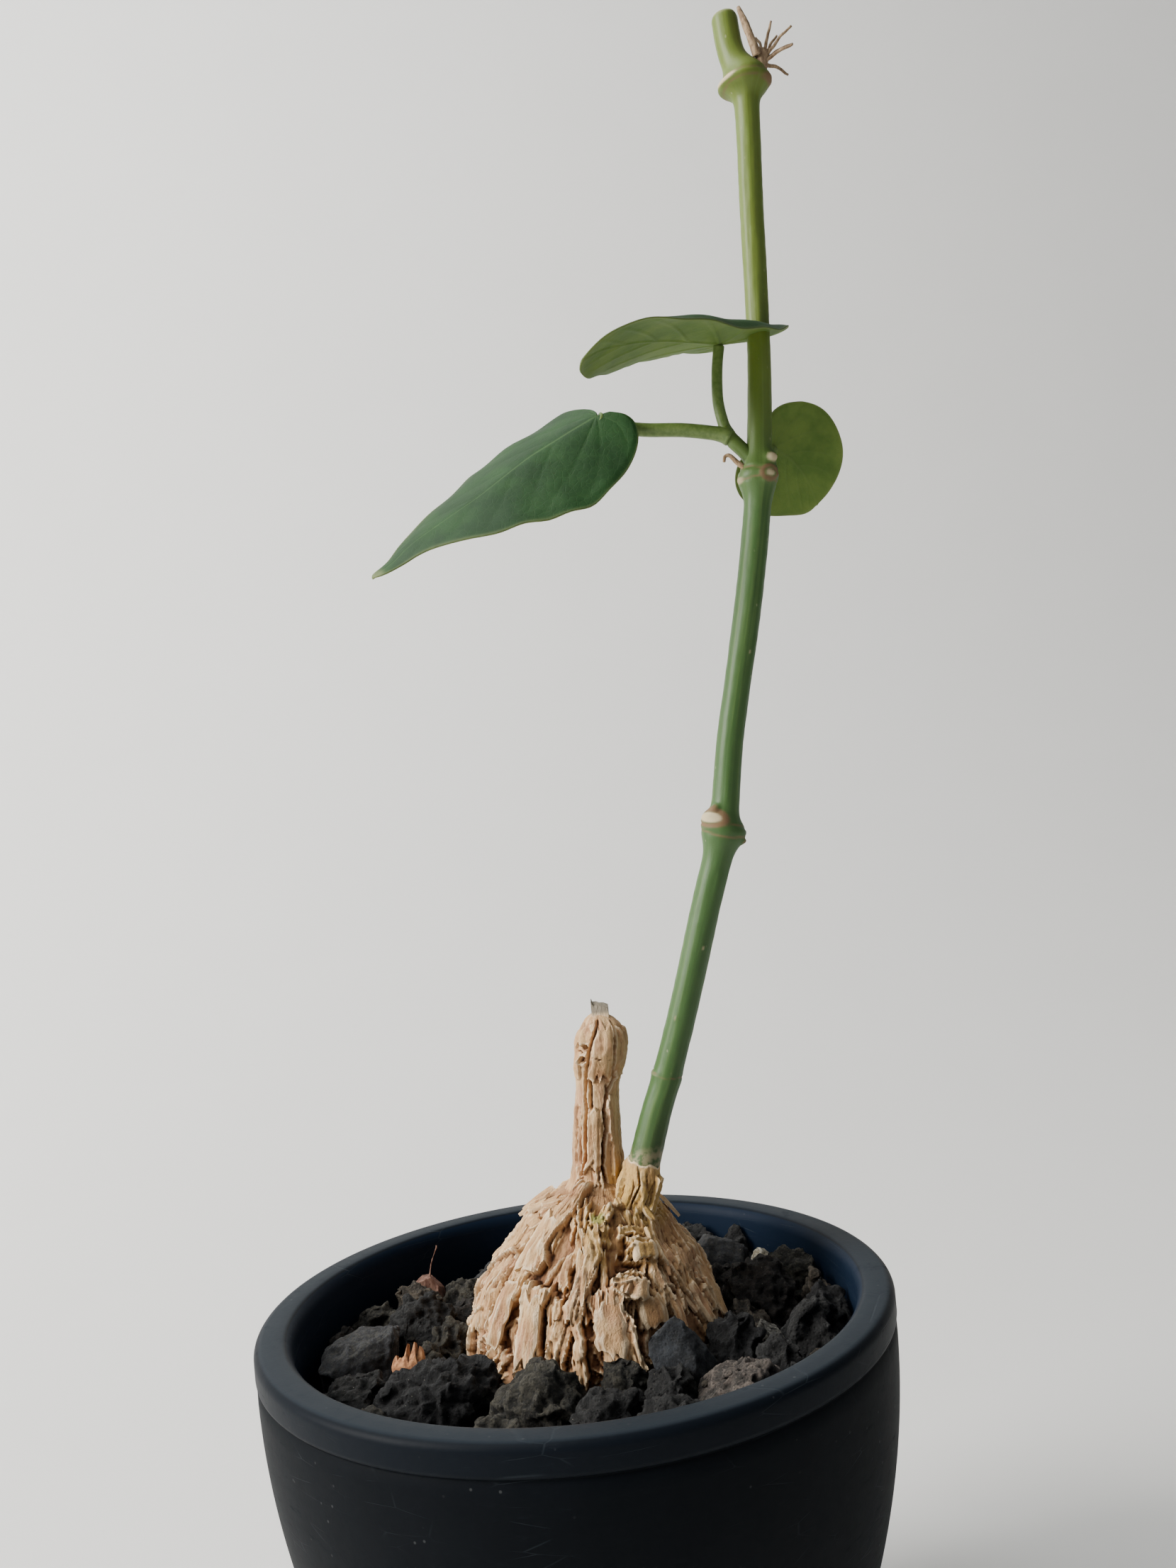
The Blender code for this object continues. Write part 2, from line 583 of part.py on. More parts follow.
def make_stump():
    """The old stem's dead stump: fluted bark, a swollen head and a broken peg."""
    angles = np.linspace(0.0, 2 * math.pi, STUMP_SIDES, endpoint=False)
    rings = []
    for height in np.arange(STUMP_OUTLINE[0][0], STUMP_OUTLINE[-1][0] + 0.1, STUMP_STEP):
        half = table(STUMP_OUTLINE, height, 2)
        flutes = STUMP_FLUTE_DEPTH * np.sin(STUMP_FLUTES * angles + 0.05 * height)
        flutes += 0.25 * np.sin(11 * angles - 0.3 * height)
        calm = smoothstep((STUMP_CALM_ABOVE - height) / 6.0)
        radii = half * (1.0 - 0.04 * calm) + flutes * calm
        rings.append(ring(table(STUMP_OUTLINE, height, 1), STUMP_Y, height, radii, angles))
    points, faces = skin(rings, rings[0].mean(axis=0), (STUMP_TIP[0], STUMP_Y, STUMP_TIP[1]))
    return new_solid("stump", points, faces)


def make_collar():
    route = np.array([(x, COLLAR_Y, height) for x, height, radius in COLLAR_OUTLINE])
    route = smooth_route(route, 11)
    angles = np.linspace(0.0, 2 * math.pi, COLLAR_SIDES, endpoint=False)
    rows = [(height, radius) for x, height, radius in COLLAR_OUTLINE]
    radii = []
    for middle in route:
        calm = smoothstep((COLLAR_CALM_ABOVE - middle[2]) / 3.0)
        creases = COLLAR_CREASE_DEPTH * np.sin(COLLAR_CREASES * angles + 0.3 * middle[2]) * calm
        radii.append(table(rows, middle[2], 1) + creases)
    points, faces = sweep(route, radii, COLLAR_SIDES)
    return new_solid("collar", points, faces)


def make_caudex():
    caudex = make_tuber()
    boolean(caudex, "UNION", [make_stump(), make_collar()])
    caudex.data.shade_smooth()
    caudex.data.set_sharp_from_angle(angle=math.radians(ORGANIC_ANGLE))
    return caudex


def stem_radii(height, angles, grow=0.0):
    """The stem's radius all round at one height, with its swollen nodes, scars and buds."""
    radii = np.full(len(angles), table(STEM_RADIUS, height, 1) + grow)
    for middle, swell, below, above in STEM_NODES:
        reach = below if height < middle else above
        radii += swell * math.exp(-((height - middle) / reach) ** 2)
    for middle, turn, swell, reach, spread in STEM_BUMPS:
        away = np.degrees(np.angle(np.exp(1j * (angles - math.radians(turn)))))
        radii += swell * math.exp(-((height - middle) / reach) ** 2) * np.exp(-(away / spread) ** 2)
    return radii


def stem_stations():
    """Shares of the stem's length for its rings, closer together at the nodes."""
    route = smooth_route(STEM_ROUTE, 600)
    total = len(route) - 1
    shares = [0.0]
    place = 0
    while place < total:
        height = route[place][2]
        near_node = any(abs(height - node[0]) < STEM_NODE_REACH for node in STEM_NODES[1:])
        step = STEM_NODE_STEP if near_node else STEM_STEP
        place += max(1, round(step * total / STEM_LENGTH))
        shares.append(min(place, total) / total)
    return shares


def make_stem(grow=0.0, name="vine_stem"):
    route = smooth_route(STEM_ROUTE, stem_stations())
    if grow:
        tangent = route[1] - route[0]
        route[0] -= grow * tangent / np.linalg.norm(tangent)
    angles = np.linspace(0.0, 2 * math.pi, STEM_SIDES, endpoint=False)
    points, faces = sweep(route, [stem_radii(middle[2], angles, grow) for middle in route], STEM_SIDES)
    stem = new_solid(name, points, faces, (0.10, 0.19, 0.075), 0.5)
    shoot_route = smooth_route(SHOOT_ROUTE, 7)
    shares = np.linspace(0.0, 1.0, len(SHOOT_RADII))
    radii = np.interp(np.linspace(0.0, 1.0, 7), shares, SHOOT_RADII) + grow
    if grow:
        tangent = shoot_route[-1] - shoot_route[-2]
        shoot_route[-1] += grow * tangent / np.linalg.norm(tangent)
    points, faces = sweep(shoot_route, radii, STALK_SIDES)
    boolean(stem, "UNION", [new_solid("shoot", points, faces)])
    stem.data.shade_smooth()
    stem.data.set_sharp_from_angle(angle=math.radians(ORGANIC_ANGLE))
    return stem


def blade_point(leaf, midrib, length, along, across):
    """A point of the bent blade from its flat place: along and across the midrib, in millimetres."""
    share = along / length
    place = min(max(share, 0.0), 1.0) * (len(midrib) - 1)
    row = min(int(place), len(midrib) - 2)
    point = midrib[row] + (midrib[row + 1] - midrib[row]) * (place - row)
    if along < 0.0:
        start = midrib[0] - midrib[1]
        point = midrib[0] - along * start / np.linalg.norm(start)
    blend = min(max(share, 0.0), 1.0)
    near = np.array(leaf["near"][0]) * (1 - blend) + np.array(leaf["near"][1]) * blend
    far = np.array(leaf["far"][0]) * (1 - blend) + np.array(leaf["far"][1]) * blend
    near /= np.linalg.norm(near)
    far /= np.linalg.norm(far)
    fold = math.sqrt(across ** 2 + FOLD_SOFTNESS ** 2) - FOLD_SOFTNESS
    point = point + across * (near - far) / 2 + fold * (near + far) / 2
    curl = leaf["curl"][0 if across > 0 else 1]
    edge = abs(across) / leaf["half_width"]
    wave = BLADE_WAVE * math.sin(0.55 * along + (0.0 if across > 0 else 1.7)) * edge ** 2
    return point + np.array([0.0, 0.0, wave - curl * edge ** 4])


def blade_outline(leaf, length):
    """The blade's whole edge, from one side of the notch round the tip to the other."""
    half = [(along * length, across * leaf["half_width"]) for along, across in leaf["outline"]]
    other = [(along if along > 0 else along * leaf["far_lobe"], -across) for along, across in half[-2::-1]]
    return half + other


def make_blade(name, leaf):
    midrib = smooth_route(leaf["midrib"], 25)
    length = float(np.sum(np.linalg.norm(np.diff(midrib, axis=0), axis=1)))
    edge = blade_outline(leaf, length)
    flat = [(0.0, 0.0)]
    for row in range(1, BLADE_RINGS + 1):
        share = (row / BLADE_RINGS) ** 0.9
        flat += [(along * share, across * share) for along, across in edge]
    step = 0.2
    upper, lower = [], []
    for along, across in flat:
        middle = blade_point(leaf, midrib, length, along, across)
        forward = blade_point(leaf, midrib, length, along + step, across)
        forward = forward - blade_point(leaf, midrib, length, along - step, across)
        side = blade_point(leaf, midrib, length, along, across + step)
        side = side - blade_point(leaf, midrib, length, along, across - step)
        normal = np.cross(forward, side)
        normal /= np.linalg.norm(normal)
        upper.append(middle + normal * LEAF_THICKNESS / 2)
        lower.append(middle - normal * LEAF_THICKNESS / 2)
    size = len(edge)
    half = len(flat)
    sheet = [(0, i + 1, i + 2) for i in range(size - 1)]
    for row in range(BLADE_RINGS - 1):
        for i in range(size - 1):
            a = 1 + row * size + i
            sheet.append((a, a + size, a + size + 1))
            sheet.append((a, a + size + 1, a + 1))
    border = [0] + [1 + row * size for row in range(BLADE_RINGS)]
    border += [1 + (BLADE_RINGS - 1) * size + i for i in range(1, size)]
    border += [1 + row * size + size - 1 for row in range(BLADE_RINGS - 2, -1, -1)]
    faces = sheet + [(a + half, c + half, b + half) for a, b, c in sheet]
    for i, a in enumerate(border):
        b = border[(i + 1) % len(border)]
        faces.append((b, a, a + half))
        faces.append((b, a + half, b + half))
    return new_solid(name, upper + lower, faces, leaf["colour"], 0.45)


def make_leaf(name):
    """A blade with its stalk, cut clear of the stem where the stalk meets it."""
    leaf = LEAVES[name]
    blade = make_blade(name, leaf)
    route = smooth_route(leaf["stalk"], 9)
    radius = leaf["stalk_radius"]
    radii = [radius * (1.12 - 0.12 * min(i, 3) / 3) for i in range(len(route))]
    points, faces = sweep(route, radii, STALK_SIDES)
    boolean(blade, "UNION", [new_solid("stalk", points, faces)])
    boolean(blade, "DIFFERENCE", [make_stem(GAP, "stem_room")])
    blade.data.shade_smooth()
    blade.data.set_sharp_from_angle(angle=math.radians(ORGANIC_ANGLE))
    return blade


def make_dried_flower_stalk():
    """The flower stalk's dry remains: a stub, its thin curled strands and a brown sheath."""
    radii = np.interp(np.linspace(0, 2, 5), range(3), STUB_RADII)
    points, faces = sweep(smooth_route(STUB_ROUTE, 5), radii, 10)
    stalk = new_solid("dried_flower_stalk", points, faces, (0.30, 0.22, 0.14), 0.9)
    parts = []
    for bend, tip in STRANDS:
        route = smooth_route((STUB_ROUTE[1], bend, tip), 5)
        radii = np.linspace(STRAND_RADIUS * 1.3, STRAND_RADIUS * 0.8, 5)
        points, faces = sweep(route, radii, 5)
        parts.append(new_solid("strand", points, faces))
    radii = np.interp(np.linspace(0, 3, 7), range(4), SHEATH_RADII)
    points, faces = sweep(smooth_route(SHEATH_ROUTE, 7), radii, 8)
    parts.append(new_solid("sheath", points, faces))
    boolean(stalk, "UNION", parts)
    boolean(stalk, "DIFFERENCE", [make_stem(GAP, "stem_room")])
    return stalk


def place_stones():
    """The photo's stones, then fillers wherever a stone of one of the set sizes still fits."""
    seats = [tuple(stone) for stone in STONES]
    taken = [stone[1:4] for stone in STONES] + [seat[:3] for seat in (BARK_CHIP_SEAT, TWIG_SEAT, BRACT_SEAT)]
    tuber_x, tuber_radius = TUBER_OUTLINE[7][1], TUBER_OUTLINE[7][2]
    draw = random.Random(FILLER_SEED)
    for radius in FILLER_RADII:
        for attempt in range(FILLER_TRIES):
            turn = draw.uniform(0.0, 2 * math.pi)
            reach = draw.uniform(24.0, STONE_WALL_RADIUS - radius + 0.8)
            x, y = reach * math.cos(turn), reach * math.sin(turn)
            if math.hypot(x - tuber_x, y - TUBER_CENTRE_Y) < tuber_radius + radius - 0.5:
                continue
            if any(math.hypot(x - a, y - b) < FILLER_CROWDING * (radius + size) for a, b, size in taken):
                continue
            if len(seats) >= STONE_LIMIT:
                continue
            taken.append((x, y, radius))
            seats.append((draw.choice(FILLER_KINDS), x, y, radius, draw.uniform(*FILLER_TOPS)))
    return seats


def cut_flat(solid, point, normal):
    """Cuts away what lies beyond a plane and closes the cut."""
    geometry = solid.verts[:] + solid.edges[:] + solid.faces[:]
    cut = bmesh.ops.bisect_plane(solid, geom=geometry, dist=1e-5, plane_co=point, plane_no=normal,
                                 clear_outer=True)
    edges = [item for item in cut["geom_cut"] if isinstance(item, bmesh.types.BMEdge)]
    if edges:
        bmesh.ops.contextual_create(solid, geom=edges)


def seat_planes(seat, seats, caudex_points):
    """The planes that keep a stone clear of its neighbours, the pot's wall and the caudex."""
    x, y, radius, top = seat
    middle = np.array([x, y])
    planes = []
    for other_x, other_y, other_radius, _ in seats:
        away = np.array([other_x, other_y]) - middle
        distance = np.linalg.norm(away)
        if distance < 1e-6 or distance > radius + other_radius + 14.0:
            continue
        share = (distance ** 2 + radius ** 2 - other_radius ** 2) / (2 * distance)
        normal = away / distance
        planes.append((middle + normal * (share - GAP / 2 - 0.02), normal))
    turn = math.atan2(y, x)
    for step in range(-4, 5):
        normal = np.array([math.cos(turn + step * 0.2), math.sin(turn + step * 0.2)])
        planes.append((normal * STONE_WALL_RADIUS, normal))
    tuber_middle = np.array([TUBER_OUTLINE[7][1], TUBER_CENTRE_Y])
    towards = tuber_middle - middle
    towards /= np.linalg.norm(towards)
    band = caudex_points[(caudex_points[:, 2] > MIX_TOP - 2.0) & (caudex_points[:, 2] < POT_HEIGHT + top + 3.0)]
    reach = np.min(band[:, :2] @ towards)
    planes.append((towards * (reach - GAP - 0.05), towards))
    return planes


def make_stone(name, seat, seats, caudex_points, draw, facets, colour, roughness=0.9):
    """An angular lump: a block cut by its room's planes and by facets round it."""
    x, y, radius, top = seat
    top_height = POT_HEIGHT + top
    middle = np.array([x, y, 0.5 * (STONE_FLOOR + top_height)])
    half = np.array([radius * 1.12, radius * 1.12, top_height - middle[2]])
    solid = bmesh.new()
    bmesh.ops.create_cube(solid, size=2.0)
    for vertex in solid.verts:
        vertex.co = middle + np.array(vertex.co) * half
    for point, normal in seat_planes(seat, seats, caudex_points):
        cut_flat(solid, (*point, 0.0), (*normal, 0.0))
    for number in range(facets):
        turn = 2 * math.pi * (number + draw.uniform(-0.45, 0.45)) / (facets * 0.5)
        lift = draw.uniform(0.1, 0.75) if number < facets // 2 else draw.uniform(0.7, 1.4)
        normal = np.array([math.cos(turn) * math.cos(lift), math.sin(turn) * math.cos(lift), math.sin(lift)])
        reach = np.linalg.norm(normal * half) * draw.uniform(0.7, 0.98)
        cut_flat(solid, middle + normal * reach, normal)
    bmesh.ops.remove_doubles(solid, verts=solid.verts, dist=0.05)
    bmesh.ops.triangulate(solid, faces=solid.faces)
    points = [tuple(vertex.co) for vertex in solid.verts]
    faces = [tuple(vertex.index for vertex in face.verts) for face in solid.faces]
    solid.free()
    return new_solid(name, points, faces, colour, roughness, smooth=False)


def make_top_dressing(caudex):
    """All stones and dry bits, each in the room that its neighbours leave it."""
    caudex_points = np.array([tuple(vertex.co) for vertex in caudex.data.vertices]) / MM
    stones = place_stones()
    seats = [stone[1:] for stone in stones] + [BARK_CHIP_SEAT, TWIG_SEAT, BRACT_SEAT]
    draw = random.Random(FILLER_SEED)
    for number, (kind, *seat) in enumerate(stones, 1):
        name = f"stone_{kind}_{number:02d}"
        make_stone(name, seat, seats, caudex_points, draw, STONE_FACETS, STONE_COLOURS[kind])
    make_stone("bark_chip", BARK_CHIP_SEAT, seats, caudex_points, draw, 10, (0.22, 0.10, 0.04))
    twig = make_stone("dry_twig", TWIG_SEAT, seats, caudex_points, draw, 8, (0.12, 0.08, 0.07))
    x, y, radius, top = TWIG_SEAT
    foot = POT_HEIGHT + top
    route = smooth_route(((x, y, foot - 6.0), (x + 0.6, y + 0.4, foot - 0.4), (x + 2.2, y + 1.5, foot + 3.6)), 6)
    points, faces = sweep(route, np.linspace(0.8, 0.4, 6), 6)
    boolean(twig, "UNION", [new_solid("stick", points, faces)])
    bract = make_stone("dried_bract", BRACT_SEAT, seats, caudex_points, draw, 8, (0.35, 0.16, 0.13))
    x, y, radius, top = BRACT_SEAT
    foot = POT_HEIGHT + top
    route = smooth_route(((x, y, foot - 5.0), (x, y, foot + 0.6), (x - 0.9, y + 0.2, foot + 2.6)), 5)
    points, faces = sweep(route, [0.7, 0.5, 0.45, 0.9, 0.5], 6)
    boolean(bract, "UNION", [new_solid("bract_stalk", points, faces)])


def main():
    for old in list(bpy.data.objects):
        bpy.data.objects.remove(old)
    make_pot()
    make_potting_mix()
    caudex = make_caudex()
    make_stem()
    for name in LEAVES:
        make_leaf(name)
    make_dried_flower_stalk()
    make_top_dressing(caudex)


main()
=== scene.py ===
"""Dresses the potted matelea: lava rock, corky foot, green vine and dark pot, in soft studio light.

Tables here are in millimetres and new_piece() turns them into metres. The frame is the CAD model's own.
"""

import itertools
import json
import math
import random

import bmesh
import bpy
import numpy as np
from mathutils import Matrix, Vector
from mathutils.bvhtree import BVHTree

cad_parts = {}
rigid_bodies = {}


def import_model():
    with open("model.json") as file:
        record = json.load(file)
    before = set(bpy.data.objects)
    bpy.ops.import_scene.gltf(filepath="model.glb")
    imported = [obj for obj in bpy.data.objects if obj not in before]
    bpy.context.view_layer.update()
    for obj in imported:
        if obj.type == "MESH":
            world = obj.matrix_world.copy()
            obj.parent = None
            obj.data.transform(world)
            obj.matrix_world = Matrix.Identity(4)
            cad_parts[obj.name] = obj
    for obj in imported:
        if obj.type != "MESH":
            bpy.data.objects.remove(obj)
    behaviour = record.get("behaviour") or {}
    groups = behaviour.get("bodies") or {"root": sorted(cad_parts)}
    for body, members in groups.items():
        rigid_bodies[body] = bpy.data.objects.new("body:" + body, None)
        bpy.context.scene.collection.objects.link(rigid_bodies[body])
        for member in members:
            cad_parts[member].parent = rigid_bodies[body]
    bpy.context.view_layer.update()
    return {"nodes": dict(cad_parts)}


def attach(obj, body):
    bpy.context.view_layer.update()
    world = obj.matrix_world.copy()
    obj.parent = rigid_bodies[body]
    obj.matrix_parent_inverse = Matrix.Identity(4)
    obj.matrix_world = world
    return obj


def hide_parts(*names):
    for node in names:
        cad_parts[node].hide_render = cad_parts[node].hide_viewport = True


MM = 0.001
BODY = "root"

# Camera, as calibrated on the photo
PHOTO_WIDTH, PHOTO_HEIGHT = 1659, 2212
CAMERA_PLACE = (10.74, -227.91, 174.45)
CAMERA_PITCH, CAMERA_ROLL = -2.1, -5.26
FOCAL_PIXELS = 1750.0

# Pot
POT_HEIGHT = 92.0
RIM_RADIUS = 56.5
RIM_BAND = 4.8
POT_FOOT_RADIUS = 31.5
POT_FLOOR = 3.0
POT_SEGMENTS = 264
WALL_TOP_RADIUS = 56.3
WALL_ROUNDING = 0.00402
MIX_TOP = 73.0
DRAIN_HOLES, DRAIN_CIRCLE, DRAIN_RADIUS = 5, 20.0, 3.0

# Tuber outline, bottom to top: height, middle in X, radius
TUBER_CENTRE_Y = 7.5
TUBER_OUTLINE = (
    (67.0, 3.6, 15.0), (72.0, 3.6, 19.0), (76.0, 3.6, 21.5), (79.5, 3.6, 23.2), (83.0, 3.6, 23.4),
    (87.0, 3.1, 22.5), (93.3, 3.0, 20.0), (98.0, 4.0, 17.2), (102.0, 4.8, 14.4), (105.5, 5.2, 11.7),
    (107.5, 6.0, 9.0), (109.5, 6.3, 5.5), (110.8, 6.5, 0.6),
)
# Planks of bark on the front: half width, how far they stand out, and (degrees, height) along the middle
BARK_PLANKS = (
    (2.7, 1.9, ((-128, 108.9), (-127, 106.6), (-132, 103.9), (-134, 100.8), (-130, 97.9))),
    (2.2, 1.6, ((-138, 97.9), (-137, 94.5), (-143, 90.9), (-142, 86.9))),
    (1.8, 1.3, ((-163, 106.2), (-165, 102.4), (-162, 99.2), (-156, 96.0))),
    (1.3, 1.0, ((-157, 107.4), (-148, 105.5), (-149, 102.6))),
    (1.5, 1.2, ((-178, 97.9), (-163, 93.9), (-160, 89.9))),
    (1.6, 1.1, ((-161, 92.6), (-156, 88.4), (-150, 84.9))),
    (2.5, 2.3, ((-120, 95.5), (-120, 91.6), (-121, 85.9), (-123, 82.0))),
    (1.0, 1.2, ((-112, 95.5), (-110, 91.5), (-111, 87.7))),
    (1.7, 1.8, ((-101, 93.3), (-104, 89.8), (-108, 85.6), (-110, 81.7))),
    (1.5, 2.3, ((-96, 103.9), (-91, 100.2), (-94, 97.1), (-97, 94.2), (-99, 90.9))),
    (1.2, 2.0, ((-99, 91.9), (-96, 88.4), (-98, 85.0), (-98, 80.8))),
    (1.0, 1.4, ((-108, 107.3), (-102, 104.9), (-102, 102.0), (-103, 99.7))),
    (0.9, 1.2, ((-85, 100.8), (-84, 97.5), (-83, 95.1))),
    (3.2, 2.2, ((-83, 95.0), (-82, 91.4), (-79, 87.8), (-79, 83.2))),
    (2.7, 1.5, ((-59, 93.0), (-60, 91.3), (-61, 89.0))),
    (1.3, 1.1, ((-69, 93.8), (-72, 90.8), (-73, 88.8))),
    (2.2, 0.8, ((-61, 88.5), (-64, 83.9))),
    (1.7, 3.0, ((-78, 95.9), (-70, 95.8), (-62, 94.7))),
    (0.9, 2.4, ((-76, 94.9), (-72, 94.1))),
    (1.7, 1.8, ((-67, 100.4), (-60, 100.0), (-52, 99.5))),
    (1.4, 1.7, ((-51, 99.4), (-53, 96.4), (-50, 92.8), (-49, 91.3))),
    (1.2, 1.4, ((-37, 103.6), (-41, 100.2), (-41, 96.4), (-37, 92.6), (-41, 89.2))),
    (2.1, 1.6, ((-19, 103.4), (-17, 98.7), (-13, 92.8), (-11, 84.1))),
    (1.0, 1.2, ((-26, 105.7), (-23, 103.0), (-24, 100.7))),
    (1.1, 1.5, ((-43, 97.7), (-37, 93.7), (-33, 90.6), (-30, 86.3))),
    (1.1, 1.3, ((-48, 92.0), (-47, 89.2), (-48, 84.3))),
    (0.9, 1.2, ((-74, 88.8), (-74, 86.8), (-76, 82.8))),
    (0.8, 1.0, ((-87, 90.2), (-85, 87.4), (-85, 82.6))),
    (0.8, 1.6, ((-107, 94.7), (-106, 92.3))),
    (0.6, 1.3, ((-93, 94.1), (-93, 91.5))),
    (1.2, 1.2, ((-106, 100.4), (-108, 97.8), (-106, 95.9))),
    (1.0, 1.1, ((-72, 103.0), (-63, 103.3), (-52, 102.4))),
    (1.1, 1.3, ((-80, 106.5), (-87, 105.1), (-98, 104.3))),
    (2.0, -0.8, ((-76, 98.5), (-67, 98.4), (-59, 97.2))),
)
LOOSE_PLANKS = 300
LOOSE_PLANK_SEED = 7
PLANK_EDGE = 0.30
PLANK_SEAT = 1.25
SPLINTER = 0.62
TUBER_COLUMNS = 560
TUBER_ROW = 0.28

# Dead stump: height, middle in X, half width
STUMP_OUTLINE = (
    (103.0, 4.6, 6.2), (107.0, 5.2, 5.7), (110.0, 5.8, 5.0), (113.5, 6.2, 4.8), (117.5, 6.4, 4.6),
    (122.0, 6.9, 4.3), (125.5, 7.2, 4.1), (128.5, 7.5, 4.15), (130.5, 7.9, 4.6), (132.5, 8.3, 4.95),
    (134.5, 8.5, 4.95), (136.3, 8.7, 4.5), (137.6, 8.8, 3.7), (138.8, 8.7, 2.7), (139.6, 8.6, 1.6),
    (140.0, 8.6, 0.4),
)
# Its grooves, sunken panels and ridges, as the bark planks
STUMP_PLANKS = (
    (0.50, -1.5, ((-112, 128.3), (-108, 126.4), (-109, 124.2), (-106, 122.6))),
    (0.42, -1.8, ((-50, 138.6), (-56, 133.4), (-46, 127.9), (-62, 126.0), (-74, 122.3), (-67, 118.8),
                  (-77, 116.3), (-80, 112.1), (-69, 108.0))),
    (0.34, -1.2, ((-69, 127.0), (-62, 123.9))),
    (0.42, -1.3, ((-123, 128.5), (-127, 125.0), (-120, 122.5), (-118, 119.1), (-118, 114.8), (-127, 110.5))),
    (0.42, -1.4, ((-94, 139.0), (-106, 136.0), (-115, 133.4), (-118, 130.7), (-125, 128.0))),
    (0.16, -0.7, ((-107, 132.5), (-88, 131.8), (-60, 131.6))),
    (0.20, -0.7, ((-160, 133.2), (-140, 133.4), (-118, 132.6))),
    (1.2, -0.75, ((-152, 123.2), (-143, 119.0), (-141, 112.4))),
    (1.4, 0.55, ((-97, 122.0), (-95, 118.0), (-95, 112.6))),
    (0.5, 0.7, ((-132, 110.4), (-117, 112.3), (-104, 113.6))),
    (0.5, 0.6, ((-132, 110.4), (-141, 113.0), (-136, 121.0))),
    (2.0, 0.60, ((-84, 137.6), (-84, 132.6), (-84, 128.6))),
    (1.5, 0.55, ((-142, 137.6), (-140, 134.8))), (1.2, 0.45, ((-150, 131.4), (-152, 128.6))),
    (2.2, 0.55, ((-12, 136.6), (-8, 132.0), (-14, 128.0))),
    (0.8, 0.5, ((-58, 124.0), (-50, 116.0), (-48, 107.0))),
    (0.6, 0.7, ((-96, 111.6), (-90, 108.8))), (0.5, 0.8, ((-82, 110.6), (-77, 107.4))),
    (0.40, -1.4, ((-14, 129.0), (-18, 122.0), (-22, 113.0), (-18, 106.0))),
    (0.38, -1.3, ((24, 135.0), (30, 126.0), (24, 114.0), (28, 104.0))),
    (0.40, -1.4, ((66, 137.0), (60, 129.0), (68, 118.0), (62, 105.0))),
    (0.36, -1.2, ((104, 134.0), (110, 124.0), (102, 112.0))),
    (0.40, -1.4, ((146, 137.0), (140, 128.0), (148, 117.0), (142, 105.0))),
    (0.36, -1.1, ((-170, 132.0), (-176, 122.0), (-168, 110.0))),
)
RING_SCAR = (-128.0, 131.9, 0.95)
SCAR_HOLE = (-124.0, 134.2, 0.55)
PEG = ((7.5, 142.7), (7.8, 142.0), (8.4, 142.0), (9.1, 141.7), (9.8, 141.6), (10.6, 141.1))
PEG_FOOT, PEG_FRONT, PEG_BACK = 136.5, 6.9, 9.8
STUMP_Y = 8.6
STUMP_COLUMNS = 170
# Corky collar: its middle (X, Y, height), radius
COLLAR_OUTLINE = (
    (9.0, 4.0, 98.0, 5.2), (10.7, 4.0, 101.5, 4.9), (12.1, 4.0, 105.0, 4.1), (13.0, 4.0, 107.4, 3.75),
    (13.8, 4.0, 109.6, 3.6), (14.4, 4.0, 111.4, 3.2), (14.75, 4.0, 112.45, 2.92),
)
# Its slits and folds, as the bark planks
COLLAR_PLANKS = (
    (0.26, -1.0, ((-114, 112.2), (-92, 109.1), (-102, 106.0), (-99, 103.6), (-104, 100.0))),
    (0.22, -0.9, ((-140, 108.6), (-133, 105.0), (-138, 100.4))), (0.24, -0.9, ((-68, 104.8), (-60, 101.6), (-66, 98.8))),
    (0.18, -0.5, ((-81, 111.4), (-69, 108.7))), (0.7, 0.45, ((171, 111.6), (-157, 108.8), (-148, 105.2))),
    (0.22, -0.5, ((-118, 109.8), (-107, 108.4), (-110, 105.0))), (0.9, 0.9, ((-34, 110.4), (-36, 108.4), (-48, 105.6))),
    (0.22, -0.5, ((-52, 110.2), (-61, 108.0), (-69, 105.5))), (0.6, 0.4, ((-84, 109.1), (-72, 107.7), (-78, 105.4))),
    (0.22, -0.6, ((-10, 111.6), (-16, 107.5), (-8, 103.0))), (0.22, -0.6, ((40, 111.5), (32, 107.0), (40, 102.0))),
    (0.22, -0.6, ((95, 111.5), (102, 107.5), (94, 102.0))), (0.22, -0.6, ((140, 111.0), (133, 107.0), (140, 102.0))),
    (0.5, 0.4, ((65, 110.8), (70, 107.0))), (0.5, 0.4, ((118, 110.8), (116, 105.0))),
)
COLLAR_COLUMNS = 130

# Living stem: (X, Y, height) along its middle, then its radius by height, then its swellings
STEM_ROUTE = (
    (14.1, 4.0, 110.2), (14.9, 4.0, 112.75), (17.9, 4.1, 121.5), (20.4, 4.2, 127.8), (24.7, 4.3, 140.0), (30.3, 4.5, 157.5),
    (35.0, 4.6, 172.0), (38.2, 4.7, 189.3), (43.7, 4.9, 213.0), (46.9, 5.0, 229.0), (48.6, 5.0, 240.5),
    (50.6, 5.0, 261.4), (52.0, 5.0, 291.0), (52.9, 5.0, 308.0), (52.8, 5.0, 314.5), (50.9, 5.0, 320.5),
    (50.2, 5.0, 327.6),
)
STEM_RADIUS = (
    (112.0, 2.95), (122.0, 2.8), (134.0, 2.65), (150.0, 2.7), (163.0, 2.75), (178.0, 2.6), (190.0, 2.5),
    (229.0, 2.6), (243.0, 2.4), (261.0, 2.2), (300.0, 2.3), (309.0, 2.4), (316.0, 2.55), (329.0, 2.5),
)
